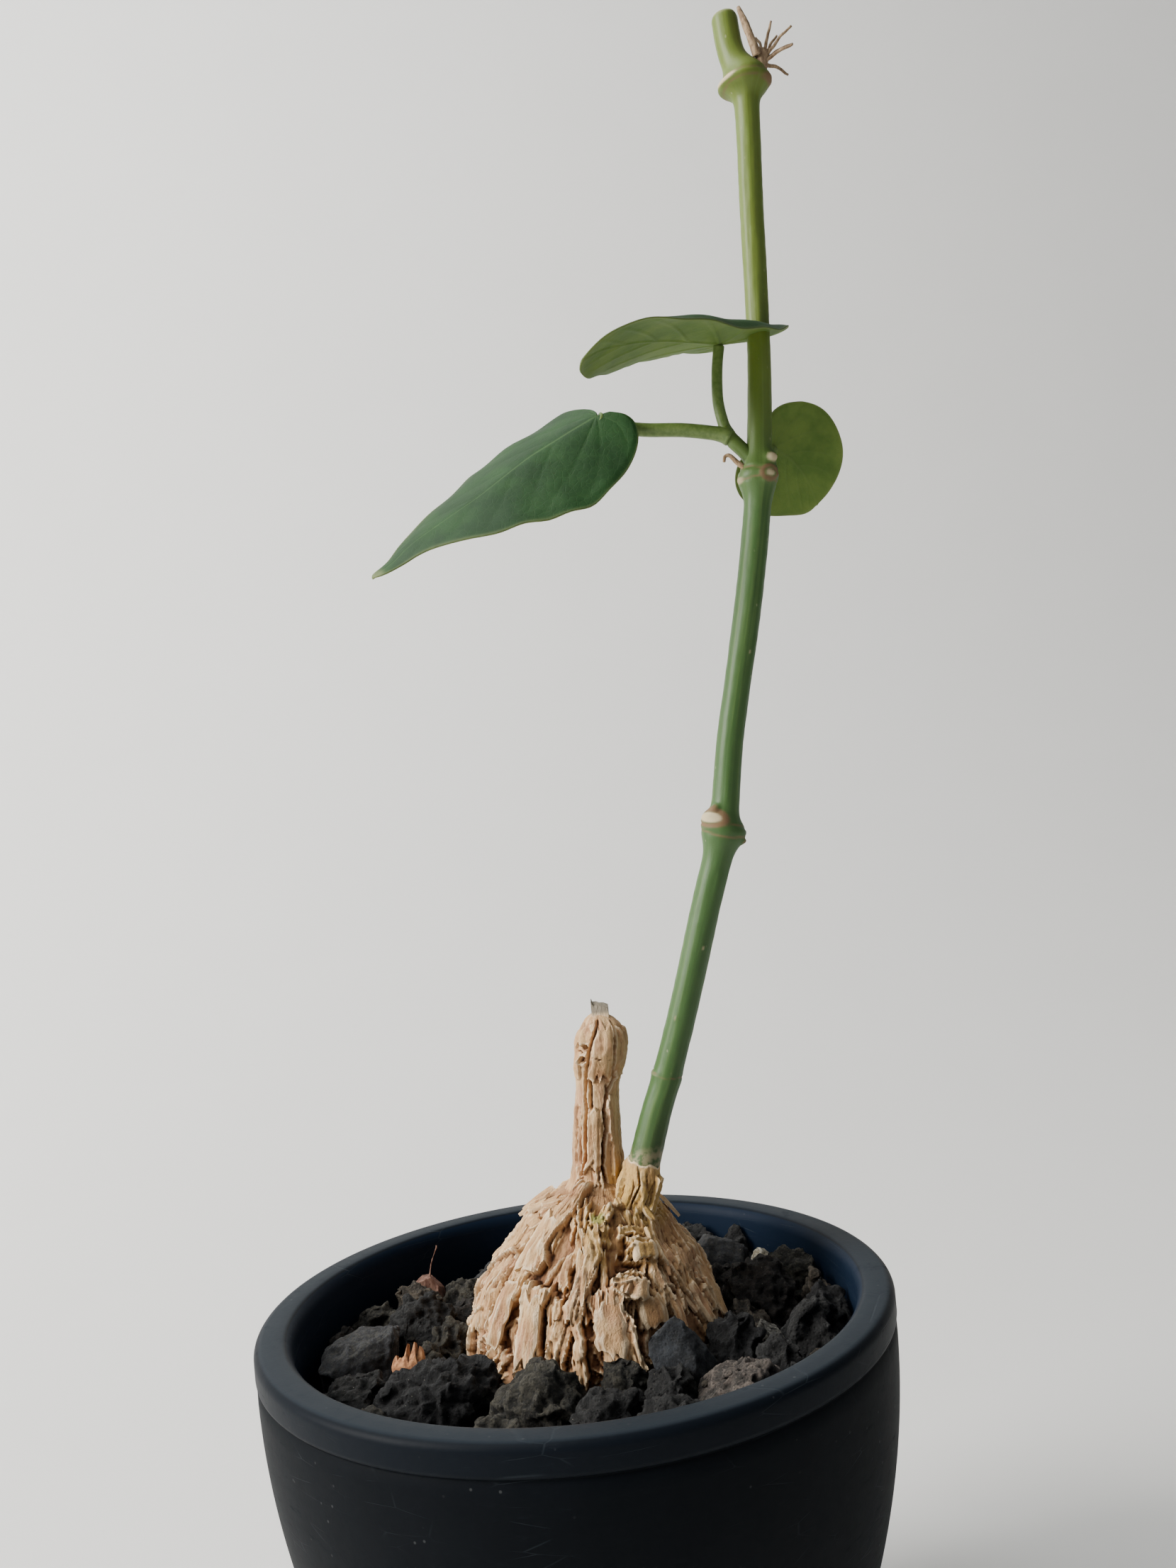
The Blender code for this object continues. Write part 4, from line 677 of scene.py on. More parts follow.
def leaf_finish():
    finish = Finish("matelea_leaf", 0.42, Specular_IOR_Level=0.23, Subsurface_Weight=0.05,
                    Subsurface_Scale=0.001)
    top, vein, rim = finish.attribute("top"), finish.attribute("vein"), finish.attribute("rim")
    cloud = finish.noise(7.0, 4.0)
    upper = finish.mix(cloud.eased(0.35, 0.65), (0.0075, 0.034, 0.0065), (0.0145, 0.053, 0.0115))
    net = finish.cracks(1.25).eased(0.10, 0.0)
    upper = finish.mix(net * 0.08, upper, (0.045, 0.11, 0.03))
    upper = finish.mix(vein.eased(0.55, 1.0) * 0.26, upper, (0.11, 0.20, 0.065))
    lower = finish.mix(cloud.eased(0.30, 0.70), (0.064, 0.121, 0.017), (0.116, 0.180, 0.032))
    lower = finish.mix(net * 0.16, lower, (0.08, 0.15, 0.028))
    lower = finish.mix(vein.eased(0.3, 0.95) * 0.45, lower, (0.095, 0.150, 0.035))
    colour = finish.mix(top, lower, upper)
    colour = finish.mix(rim.eased(0.2, 1.0) * 0.35, colour, (0.20, 0.24, 0.09))
    curled_tip = finish.near((-24.6, 0.0, 224.6), 0.7, 1.6)
    colour = finish.mix(curled_tip * 0.6, colour, (0.17, 0.20, 0.085))
    gloss = 0.62 - top * 0.06 + cloud * 0.08
    relief = finish.noise(2.6, 2.0) * 0.07 - net * 0.012
    return finish.wear(Base_Color=colour, Roughness=gloss, height=relief)


def dry_finish(name, dark, light):
    finish = Finish(name, 0.88)
    fibres = finish.noise(0.7, 4.0, 0.65, finish.stretched(1.0, 1.0, 0.4))
    colour = finish.mix(fibres.eased(0.35, 0.66), dark, light)
    cavity = finish.attribute("cavity")
    # Painted shade: hollows are darkened.
    colour = finish.mix(cavity.eased(0.48, 0.30) * 0.7, colour, tuple(0.35 * c for c in dark))
    return finish.wear(Base_Color=colour, height=fibres * 0.22)


# Mesh work

def new_piece(name, points, faces, material, replaces=()):
    """Makes one piece from points in millimetres, rides it on the pot and gives it its finish."""
    mesh = bpy.data.meshes.new(name)
    mesh.from_pydata((np.asarray(points) * MM).tolist(), [], np.asarray(faces).tolist()
                     if isinstance(faces, np.ndarray) else faces)
    return dress(name, mesh, material, replaces)


def dress(name, mesh, material, replaces=()):
    piece = bpy.data.objects.new(name, mesh)
    bpy.context.scene.collection.objects.link(piece)
    mesh.materials.clear()
    mesh.materials.append(material)
    mesh.shade_smooth()
    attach(piece, BODY)
    if replaces:
        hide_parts(*replaces)
    return piece


def skin_faces(rows, columns, caps=True):
    """Quads between rings of equal size, and fans to two middle points that follow them."""
    index = np.arange(rows * columns).reshape(rows, columns)
    a, b = index[:-1], np.roll(index, -1, axis=1)[:-1]
    c, d = np.roll(index, -1, axis=1)[1:], index[1:]
    faces = np.stack([a, b, c, d], axis=-1).reshape(-1, 4).tolist()
    if caps:
        start, end = rows * columns, rows * columns + 1
        for i in range(columns):
            j = (i + 1) % columns
            faces.append([j, i, start])
            faces.append([int(index[-1, i]), int(index[-1, j]), end])
    return faces


def skin_points(rings):
    rings = np.asarray(rings)
    return np.vstack([rings.reshape(-1, 3), rings[0].mean(axis=0), rings[-1].mean(axis=0)])


def sweep(route, radii, columns):
    """Rings of a tube along a route; radii holds one number or one array for each point."""
    route = np.asarray(route)
    tangents = np.gradient(route, axis=0)
    tangents /= np.linalg.norm(tangents, axis=1)[:, None]
    angles = np.linspace(0.0, 2 * math.pi, columns, endpoint=False)
    rings = []
    for middle, along, radius in zip(route, tangents, radii):
        back = np.array([0.0, 1.0, 0.0]) if abs(along[1]) < 0.9 else np.array([0.0, 0.0, 1.0])
        back = back - along * np.dot(along, back)
        back /= np.linalg.norm(back)
        right = np.cross(back, along)
        rings.append(middle + np.outer(radius * np.cos(angles), right) + np.outer(radius * np.sin(angles), back))
    return np.array(rings)


def mesh_points(mesh):
    points = np.empty(len(mesh.vertices) * 3, dtype=np.float32)
    mesh.vertices.foreach_get("co", points)
    return points.reshape(-1, 3).astype(float) / MM


def mesh_normals(mesh):
    normals = np.empty(len(mesh.vertices) * 3, dtype=np.float32)
    mesh.vertices.foreach_get("normal", normals)
    return normals.reshape(-1, 3).astype(float)


def set_points(mesh, points):
    mesh.vertices.foreach_set("co", (points * MM).astype(np.float32).ravel())
    mesh.update()


def set_attribute(mesh, name, values):
    layer = mesh.attributes.new(name, "FLOAT", "POINT")
    layer.data.foreach_set("value", np.asarray(values, dtype=np.float32))


def neighbour_mean(mesh, values, rounds):
    """Each point's value, evened out over its neighbours."""
    edges = np.empty(len(mesh.edges) * 2, dtype=np.int64)
    mesh.edges.foreach_get("vertices", edges)
    first, second = edges.reshape(-1, 2).T
    count = np.bincount(first, minlength=len(values)) + np.bincount(second, minlength=len(values)) + 1.0
    columns = values.reshape(len(values), -1)
    for turn in range(rounds):
        total = columns.copy()
        for column in range(columns.shape[1]):
            total[:, column] += np.bincount(first, columns[second, column], len(values))
            total[:, column] += np.bincount(second, columns[first, column], len(values))
        columns = total / count[:, None]
    return columns.reshape(values.shape)


def set_cavity(mesh, rounds, reach, name="cavity"):
    """Marks hollows (below 0.5) and ridges (above it), which the finishes darken and lighten as painted shade and
    painted highlight.
    """
    points = mesh_points(mesh)
    lift = np.sum((points - neighbour_mean(mesh, points, rounds)) * mesh_normals(mesh), axis=1)
    set_attribute(mesh, name, np.clip(0.5 + 0.5 * lift / reach, 0.0, 1.0))


def remeshed(name, mesh, voxel, smoothing=0):
    """The mesh's solid as one even skin."""
    helper = bpy.data.objects.new(name, mesh)
    bpy.context.scene.collection.objects.link(helper)
    remesh = helper.modifiers.new("Skin", "REMESH")
    remesh.mode = "VOXEL"
    remesh.voxel_size = voxel * MM
    if smoothing:
        smooth = helper.modifiers.new("Soften", "SMOOTH")
        smooth.factor = 0.5
        smooth.iterations = smoothing
    graph = bpy.context.evaluated_depsgraph_get()
    result = bpy.data.meshes.new_from_object(helper.evaluated_get(graph))
    bpy.data.objects.remove(helper)
    return result


# The pot

def wall_radius(depth):
    radius = WALL_TOP_RADIUS - WALL_ROUNDING * (min(depth, 60.0) - 5.0) ** 2
    share = max(depth - 60.0, 0.0) / (POT_HEIGHT - 60.0)
    return radius + (POT_FOOT_RADIUS - radius) * share


def make_pot():
    top = POT_HEIGHT
    profile = [(0.0, 0.35), (22.0, 0.35), (24.5, 0.0), (POT_FOOT_RADIUS - 1.6, 0.0)]
    profile += [(POT_FOOT_RADIUS - 0.7, 0.2), (POT_FOOT_RADIUS - 0.05, 0.75), (POT_FOOT_RADIUS + 0.3, 1.6)]
    profile += [(wall_radius(top - height) + 0.02, height) for height in np.arange(4.0, top - 6.0, 2.0)]
    profile += [(56.28, top - 5.6), (56.02, top - 5.25), (55.98, top - 5.0), (56.2, top - RIM_BAND)]
    profile += [(56.42, top - 4.55), (RIM_RADIUS, top - 4.1), (RIM_RADIUS, top - 2.0)]
    for turn in np.linspace(0.0, math.pi / 2, 9):
        profile.append((RIM_RADIUS - 1.5 + 1.5 * math.cos(turn), top - 1.5 + 1.5 * math.sin(turn)))
    profile += [(53.2, top - 0.03), (51.8, top - 0.02), (51.3, top - 0.15), (50.8, top - 0.6)]
    profile += [(50.3, top - 1.3), (50.0, top - 2.4), (49.8, top - 9.0), (49.4, top - 22.0)]
    profile += [(46.0, top - 45.0), (40.5, top - 60.0), (28.6, POT_FLOOR + 0.3), (0.5, POT_FLOOR)]
    angles = np.linspace(0.0, 2 * math.pi, POT_SEGMENTS, endpoint=False)
    rings = [np.stack([r * np.cos(angles), r * np.sin(angles), np.full(POT_SEGMENTS, z)], axis=1)
             for r, z in profile[1:-1]]
    points = np.vstack([np.array(rings).reshape(-1, 3), (0.0, 0.0, profile[0][1]), (0.0, 0.0, POT_FLOOR)])
    pot = bpy.data.meshes.new("turned_pot")
    pot.from_pydata((points * MM).tolist(), [], skin_faces(len(rings), POT_SEGMENTS))
    return dress("navy_pot", drilled(pot), pot_finish(), ["pot"])


def drilled(pot):
    """The pot's mesh with its drain holes cut through the floor."""
    drills = bmesh.new()
    for number in range(DRAIN_HOLES):
        turn = 2 * math.pi * (number + 0.5) / DRAIN_HOLES
        place = Matrix.Translation(Vector((math.cos(turn), math.sin(turn), 0.0)) * DRAIN_CIRCLE * MM)
        bmesh.ops.create_cone(drills, cap_ends=True, segments=40, radius1=DRAIN_RADIUS * MM,
                              radius2=DRAIN_RADIUS * MM, depth=4 * POT_FLOOR * MM, matrix=place)
    drill_mesh = bpy.data.meshes.new("drills")
    drills.to_mesh(drill_mesh)
    drills.free()
    cutter = bpy.data.objects.new("drills", drill_mesh)
    blank = bpy.data.objects.new("blank", pot)
    for helper in (cutter, blank):
        bpy.context.scene.collection.objects.link(helper)
    cut = blank.modifiers.new("Drain", "BOOLEAN")
    cut.operation, cut.solver, cut.object = "DIFFERENCE", "EXACT", cutter
    result = bpy.data.meshes.new_from_object(blank.evaluated_get(bpy.context.evaluated_depsgraph_get()))
    for helper in (cutter, blank):
        bpy.data.objects.remove(helper)
    result.set_sharp_from_angle(angle=math.radians(60.0))
    return result


# The corky foot

def turned(start, end):
    """The shorter way round from one direction to the other, degrees in and radians out."""
    return np.radians((end - start + 180.0) % 360.0 - 180.0)


def lay_plank(turn, height, radius, plank, salt, tear):
    """One torn plank on the unrolled surface: how far it stands out, its fibres, and where it lies."""
    half_width, rise, route = plank
    away = np.full(len(turn), 1e9)
    across, along = np.zeros(len(turn)), np.zeros(len(turn))
    total = np.zeros(len(turn))
    for start, end in zip(route[:-1], route[1:]):
        right, up = turned(start[0], turn) * radius, height - start[1]
        run, climb = turned(start[0], end[0]) * radius, end[1] - start[1]
        length = np.hypot(run, climb)
        share = (right * run + up * climb) / length ** 2
        held = np.clip(share, 0.0, 1.0)
        distance = np.hypot(right - held * run, up - held * climb)
        nearer = distance < away
        away = np.where(nearer, distance, away)
        across = np.where(nearer, (run * up - climb * right) / length, across)
        along = np.where(nearer, total + share * length, along)
        total = total + length
    flat = np.stack([across, along, np.zeros(len(along))], axis=1)
    wander = 0.22 * half_width * grain(flat, (90.0, 3.0, 9.0), salt) + 0.16 * grain(flat, (90.0, 0.8, 9.0), salt + 1)
    sides = smoothstep((half_width + wander - np.abs(across)) / PLANK_EDGE)
    torn = 0.5 + 0.8 * grain(flat, (0.55, 90.0, 9.0), salt + 2)
    ends = smoothstep((np.minimum(along, total - along) + torn) / PLANK_EDGE)
    strip = np.floor(across / SPLINTER + 0.6 * grain(flat, (90.0, 4.0, 9.0), salt + 3))
    broken = np.floor(along / 5.0 + 7.3 * lattice(np.stack([strip, strip, strip], axis=1), salt + 4))
    splinter = lattice(np.stack([strip, broken, 0 * strip], axis=1), salt + 5) - 0.5
    fibres = 0.5 * grain(flat, (0.30, 4.0, 9.0), salt + 6) + 0.5 * grain(flat, (0.62, 8.0, 9.0), salt + 7)
    lean = 0.30 * math.sin(2.1 * salt) * across / half_width
    coarse = min(1.0, half_width)
    slits = smoothstep((0.10 - np.abs(grain(flat, (1.3, 11.0, 9.0), salt + 8))) / 0.10)
    top = rise * (1.0 + lean) + coarse * tear * (0.62 * splinter + 0.26 * fibres - 0.45 * slits)
    if rise < 0:
        ends = smoothstep(np.minimum(along, total - along) / 1.2 + 0.5)
        sides = smoothstep((half_width * ends + 0.5 * wander - np.abs(across)) / PLANK_EDGE)
    return sides * ends * top, fibres, sides * ends


def plank_relief(turn, height, radius, ground, ground_fibres, planks, tear=1.0):
    """Planks laid over the ground of a surface; returns the relief, the fibres and what lies open."""
    raised, sunk = np.zeros(len(turn)), np.zeros(len(turn))
    fibres, cover = ground_fibres.copy(), np.zeros(len(turn))
    for salt, plank in enumerate(planks):
        half_width, rise, route = plank
        lowest, highest = min(spot[1] for spot in route), max(spot[1] for spot in route)
        middle = route[len(route) // 2][0]
        reach = max(abs(turned(middle, spot[0])) for spot in route)
        near = (height > lowest - half_width - 2.0) & (height < highest + half_width + 2.0)
        near &= np.abs(turned(middle, turn)) < reach + (half_width + 2.0) / radius
        if not near.any():
            continue
        form, threads, lies = lay_plank(turn[near], height[near], radius[near], plank, 20 * salt + 100, tear)
        if rise < 0:
            sunk[near] = np.minimum(sunk[near], form)
            continue
        over = form > raised[near]
        raised[near] = np.where(over, form, raised[near])
        fibres[near] = np.where(over & (lies > 0.5), threads, fibres[near])
        cover[near] = np.maximum(cover[near], lies)
    return ground + raised + sunk, fibres, cover


def loose_planks():
    """Smaller planks between the measured ones, and all over the sides and back."""
    draw = random.Random(LOOSE_PLANK_SEED)
    planks = []
    for number in range(LOOSE_PLANKS):
        degrees = draw.uniform(-180.0, 180.0)
        front = -150.0 < degrees < -35.0
        length = draw.uniform(2.0, 5.5) if front else draw.uniform(4.0, 13.0)
        top = draw.uniform(79.0, 107.5)
        lean = draw.uniform(-9.0, 9.0) - (8.0 if degrees < -130.0 else 0.0)
        rise = draw.uniform(0.25, 0.9) if front else draw.uniform(0.4, 2.1)
        half_width = draw.uniform(0.5, 1.1) if front else draw.uniform(0.6, 2.1)
        bend = draw.uniform(-4.0, 4.0)
        if -180.0 < degrees < -140.0 and number % 2:
            half_width, rise, length = 0.6 * half_width, rise + 0.5, 0.5 * length
        planks.append((half_width, rise, ((degrees, top), (degrees + 0.5 * lean + bend, top - 0.5 * length),
                                          (degrees + lean, top - length))))
    return planks


def tuber_point(degrees, height, out=0.0):
    radius = table(TUBER_OUTLINE, height, 2) + out
    turn = math.radians(degrees)
    return np.array([table(TUBER_OUTLINE, height, 1) + radius * math.cos(turn),
                     TUBER_CENTRE_Y + radius * math.sin(turn), height])


def finish_cork(name, parts):
    """Joins parts (points, faces, fibres, cover) into one cork piece with the marks its finish reads."""
    points, faces, fibres, cover, start = [], [], [], [], 0
    for some_points, some_faces, some_fibres, some_cover in parts:
        points.append(some_points)
        faces += [[start + i for i in face] for face in some_faces]
        fibres.append(some_fibres)
        cover.append(some_cover)
        start += len(some_points)
    known = bpy.data.materials.get("flaking_cork")
    piece = new_piece(name, np.vstack(points), faces, known or cork_finish(), ["caudex"])
    set_attribute(piece.data, "fibre", 0.5 + 0.5 * np.concatenate(fibres))
    # cover: where planks lie; the cork finish darkens the rest as painted shade.
    set_attribute(piece.data, "cover", np.concatenate(cover))
    # cavity: fine hollows and ridges, darkened and lightened by the cork finish as painted shade and painted highlight.
    set_cavity(piece.data, 5, 0.32)
    # hollow: the broad hollows, darkened by the cork finish as painted shade.
    set_cavity(piece.data, 40, 1.3, "hollow")
    piece.data.set_sharp_from_angle(angle=math.radians(48.0))
    return piece


def with_ends(values):
    """Values on rings, with one more for each of the two middle points."""
    return np.concatenate([values, (0.0, 0.0)])


def make_tuber():
    heights = np.arange(70.5, 110.7, TUBER_ROW)
    angles = np.linspace(0.0, 2 * math.pi, TUBER_COLUMNS, endpoint=False)
    grid_h, grid_a = np.meshgrid(heights, angles, indexing="ij")
    grid_h, grid_a = grid_h.ravel(), grid_a.ravel()
    radius, middle = table(TUBER_OUTLINE, grid_h, 2), table(TUBER_OUTLINE, grid_h, 1)
    plain = np.stack([middle + radius * np.cos(grid_a), TUBER_CENTRE_Y + radius * np.sin(grid_a), grid_h], axis=1)
    slope = (table(TUBER_OUTLINE, grid_h + 1.5, 2) - table(TUBER_OUTLINE, grid_h - 1.5, 2)) / 3.0
    out = np.stack([np.cos(grid_a), np.sin(grid_a), -slope], axis=1)
    out /= np.linalg.norm(out, axis=1)[:, None]
    unrolled = np.stack([18.0 * np.cos(grid_a), grid_h, 18.0 * np.sin(grid_a)], axis=1)
    threads = 0.5 * grain(unrolled, (0.35, 4.0, 0.35), 17) + 0.5 * grain(unrolled, (0.8, 7.0, 0.8), 11)
    ground = 0.45 * rough(plain, 4.0, 4, 23) + 0.22 * threads
    knobs = smoothstep((7.5 - np.linalg.norm(plain - (9.5, -4.5, 103.5), axis=1)) / 3.0)
    ground += knobs * 1.1 * (0.75 - cells(plain, 1.9, 37)[0])
    pitted = smoothstep((3.6 - np.linalg.norm(plain - tuber_point(-67, 98.4), axis=1)) / 1.5)
    pitted = np.maximum(pitted, 0.5 * smoothstep((grain(plain, 7.0, 73) - 0.3) / 0.3))
    ground -= pitted * 0.5 * smoothstep((0.34 - cells(plain, 1.15, 71)[0]) / 0.2)
    relief, fibres, cover = plank_relief(np.degrees(grid_a), grid_h, np.maximum(radius, 3.0), ground, threads,
                                         list(BARK_PLANKS) + loose_planks())
    relief += 0.10 * rough(plain, 1.0, 3, 67)
    shown = smoothstep((grid_h - 70.5) / 2.0) * smoothstep((110.9 - grid_h) / 2.0)
    seat = PLANK_SEAT + 1.4 * smoothstep((grid_h - 95.0) / 5.0) * np.maximum(np.cos(grid_a), 0.0) ** 2
    points = plain + out * (np.clip(relief - seat, -3.6, 2.6) * shown)[:, None]
    points = skin_points(points.reshape(len(heights), TUBER_COLUMNS, 3))
    return points, skin_faces(len(heights), TUBER_COLUMNS), with_ends(fibres), with_ends(cover)


def make_stump():
    heights = np.arange(103.0, 140.0, 0.26)
    angles = np.linspace(0.0, 2 * math.pi, STUMP_COLUMNS, endpoint=False)
    grid_h, grid_a = np.meshgrid(heights, angles, indexing="ij")
    grid_h, grid_a = grid_h.ravel(), grid_a.ravel()
    half, middle = table(STUMP_OUTLINE, grid_h, 2), table(STUMP_OUTLINE, grid_h, 1)
    around = np.stack([np.cos(grid_a), np.sin(grid_a), np.zeros(len(grid_a))], axis=1)
    plain = np.stack([middle, np.full(len(grid_a), STUMP_Y), grid_h], axis=1) + around * half[:, None]
    unrolled = np.stack([5.0 * np.cos(grid_a), grid_h, 5.0 * np.sin(grid_a)], axis=1)
    threads = 0.5 * grain(unrolled, (0.35, 3.5, 0.35), 19) + 0.5 * grain(unrolled, (0.8, 7.0, 0.8), 13)
    ground = 0.24 * rough(plain, 2.6, 4, 29) + 0.10 * threads
    turn = np.degrees(grid_a)
    relief, fibres, cover = plank_relief(turn, grid_h, np.maximum(half, 2.0), ground, threads, STUMP_PLANKS, 0.22)
    degrees, level, size = RING_SCAR
    ring = np.hypot(turned(degrees, turn) * half, grid_h - level)
    relief += 0.62 * np.exp(-((ring - size) / 0.24) ** 2) - 0.45 * (ring < 0.6 * size)
    degrees, level, size = SCAR_HOLE
    relief -= 1.7 * smoothstep((size - np.hypot(turned(degrees, turn) * half, grid_h - level)) / 0.3)
    calm = smoothstep((140.0 - grid_h) / 2.5)
    points = plain + around * (np.maximum(relief, -0.5 * half) * calm)[:, None]
    points = skin_points(points.reshape(len(heights), STUMP_COLUMNS, 3))
    return points, skin_faces(len(heights), STUMP_COLUMNS), with_ends(fibres), with_ends(np.ones(len(grid_a)))


def make_peg():
    """The grey splintered end of the old stem, on top of the stump."""
    draw = random.Random(3)
    tops = [(x, height) for x, height in PEG]
    points, faces = [], []
    for y, fall in ((PEG_FRONT, 0.5), (PEG_FRONT + 0.7, 0.1), (PEG_BACK - 0.6, 0.0), (PEG_BACK, 0.7)):
        for x, height in tops:
            points.append((8.7 + (x - 8.7) * 1.05, y, PEG_FOOT))
            points.append((x + draw.uniform(-0.1, 0.1), y + draw.uniform(-0.12, 0.12), height - fall
                           + draw.uniform(-0.25, 0.05)))
    rows, columns = 4, len(tops)
    for row in range(rows - 1):
        for column in range(columns - 1):
            a, b = 2 * (row * columns + column), 2 * ((row + 1) * columns + column)
            faces.append([a + 1, a + 3, b + 3, b + 1])
            faces.append([a, b, b + 2, a + 2])
    for column in range(columns - 1):
        a, b = 2 * column, 2 * ((rows - 1) * columns + column)
        faces += [[a, a + 2, a + 3, a + 1], [b, b + 1, b + 3, b + 2]]
    for row in range(rows - 1):
        a, b = 2 * row * columns, 2 * (row + 1) * columns
        c, d = a + 2 * (columns - 1), b + 2 * (columns - 1)
        faces += [[a, a + 1, b + 1, b], [c, d, d + 1, c + 1]]
    return np.array(points), faces, np.zeros(len(points)), np.ones(len(points))


def make_collar():
    route = smooth_route([row[:3] for row in COLLAR_OUTLINE], 90)
    rows = [row[2:] for row in COLLAR_OUTLINE]
    angles = np.linspace(0.0, 2 * math.pi, COLLAR_COLUMNS, endpoint=False)
    degrees = np.degrees(angles)
    radii, all_fibres = [], []
    for middle in route:
        height = np.full(COLLAR_COLUMNS, middle[2])
        plain = table(rows, middle[2], 1)
        near = np.stack([plain * np.cos(angles), plain * np.sin(angles), height], axis=1)
        threads = 0.5 * grain(near, (0.4, 0.4, 3.5), 45) + 0.5 * grain(near, (0.9, 0.9, 5.0), 47)
        ground = 0.30 * rough(near, 2.0, 4, 51) + 0.12 * threads
        relief, fibres, cover = plank_relief(degrees, height, np.full(COLLAR_COLUMNS, plain), ground, threads,
                                             COLLAR_PLANKS, 0.3)
        radii.append(plain + np.maximum(relief, -0.9) * (0.35 + 0.65 * smoothstep((112.4 - middle[2]) / 1.5)) + 0.1)
        all_fibres.append(fibres)
    rings = sweep(route, radii, COLLAR_COLUMNS)
    ragged = 0.45 * grain(np.stack([3 * np.cos(angles), 3 * np.sin(angles), 0 * angles], axis=1), 0.9, 53)
    for row in range(-8, 0):
        rings[row] += (ragged * (row + 9) / 8.0)[:, None] * (0.24, 0.0, 0.97)
    return skin_points(rings), skin_faces(len(rings), COLLAR_COLUMNS), with_ends(np.concatenate(all_fibres)), \
        np.ones(len(rings) * COLLAR_COLUMNS + 2)


def slab(middle, along, out, length, width, thickness, salt):
    """A torn flake of bark: a fibrous splint with broken ends."""
    along = along / np.linalg.norm(along)
    out = out - along * np.dot(out, along)
    out /= np.linalg.norm(out)
    across = np.cross(along, out)
    rows, columns = 20, 11
    u, v =np.meshgrid(np.linspace(-1.0, 1.0, columns), np.linspace(-1.0, 1.0, rows))
    u, v = u.ravel(), v.ravel()
    flat = np.stack([0.5 * width * u, 0.5 * length * v, np.full(len(u), 7.3 * salt)], axis=1)
    torn = 1.0 + 0.34 * grain(flat * (1.0, 0.0, 1.0), (0.8, 9.0, 1.0), salt)
    edge = 1.0 + 0.16 * grain(flat * (0.0, 1.0, 1.0), (9.0, 1.4, 1.0), salt + 1) - 0.22 * np.abs(v) ** 3
    fibres = grain(flat, (0.4, 4.0, 1.0), salt + 2)
    strip = lattice(np.stack([np.floor(flat[:, 0] / 0.6), 0 * u, 0 * u + salt], axis=1), salt + 3) - 0.5
    bend = -0.10 * width * u * u
    points = []
    for side in (1.0, -1.0):
        lift = side * 0.5 * thickness * (1.0 - 0.35 * np.maximum(np.abs(u), np.abs(v)) ** 6)
        lift = lift + (0.12 * fibres + 0.25 * strip * min(thickness, 0.9)
                       + 0.3 * grain(flat, (1.6, 2.2, 1.0), salt + 4)) * (side > 0) + bend
        points.append(middle + np.outer(0.5 * length * v * torn, along) + np.outer(0.5 * width * u * edge, across)
                      + np.outer(lift, out))
    faces = []
    half = rows * columns
    for row in range(rows - 1):
        for column in range(columns - 1):
            a = row * columns + column
            faces.append([a, a + 1, a + columns + 1, a + columns])
            faces.append([half + a, half + a + columns, half + a + columns + 1, half + a + 1])
    border = list(range(columns)) + [row * columns + columns - 1 for row in range(1, rows)]
    border += [(rows - 1) * columns + column for column in range(columns - 2, -1, -1)]
    border += [row * columns for row in range(rows - 2, 0, -1)]
    for i, a in enumerate(border):
        b = border[(i + 1) % len(border)]
        faces.append([b, a, a + half, b + half])
    return np.vstack(points), faces, np.tile(fibres, 2), np.ones(2 * half)


# Flakes that stand clear: degrees, height, lean across in degrees, length, width, thickness, stand-off, tip-out
FLAKES = (
    (-97, 98.2, -2, 9.5, 2.2, 0.9, 2.3, 0.04), (-82, 90.5, 4, 9.0, 5.4, 1.0, 2.4, 0.09),
    (-150, 104.5, 20, 2.6, 3.0, 0.6, 1.9, 0.3), (-168, 98.5, 5, 3.4, 2.6, 0.7, 1.9, 0.3),
    (-120, 90.0, 2, 10.5, 4.2, 0.9, 2.4, 0.05), (-72, 95.7, 31, 3.1, 2.9, 1.1, 2.5, 0.22),
    (-66, 94.9, 12, 3.4, 3.3, 1.2, 2.6, 0.10),
    (-106, 93.0, 4, 3.4, 1.3, 0.6, 1.9, 0.15), (-60, 91.0, 2, 5.2, 4.8, 0.9, 1.7, 0.03),
    (-74, 86.5, -3, 6.0, 1.6, 0.8, 1.8, 0.08), (-47, 89.5, 3, 6.2, 1.9, 0.8, 1.7, 0.08),
    (-30, 89.0, -3, 7.5, 1.8, 0.8, 1.9, 0.09), (-11, 89.5, 3, 10.0, 3.4, 0.9, 1.9, 0.04),
    (-134, 102.0, 4, 10.0, 4.6, 0.9, 2.0, 0.04), (-139, 91.5, 10, 9.5, 3.9, 0.9, 1.9, 0.06),
    (-162, 101.5, 4, 8.0, 3.0, 0.8, 1.7, 0.06), (-165, 106.0, 12, 3.2, 2.4, 0.6, 1.6, 0.22),
    (-150, 107.0, 30, 3.0, 2.2, 0.6, 1.7, 0.25), (-160, 90.0, 0, 7.0, 2.6, 0.8, 1.6, 0.08),
    (-57, 99.8, 5, 3.1, 4.6, 1.3, 1.7, 0.0),
)


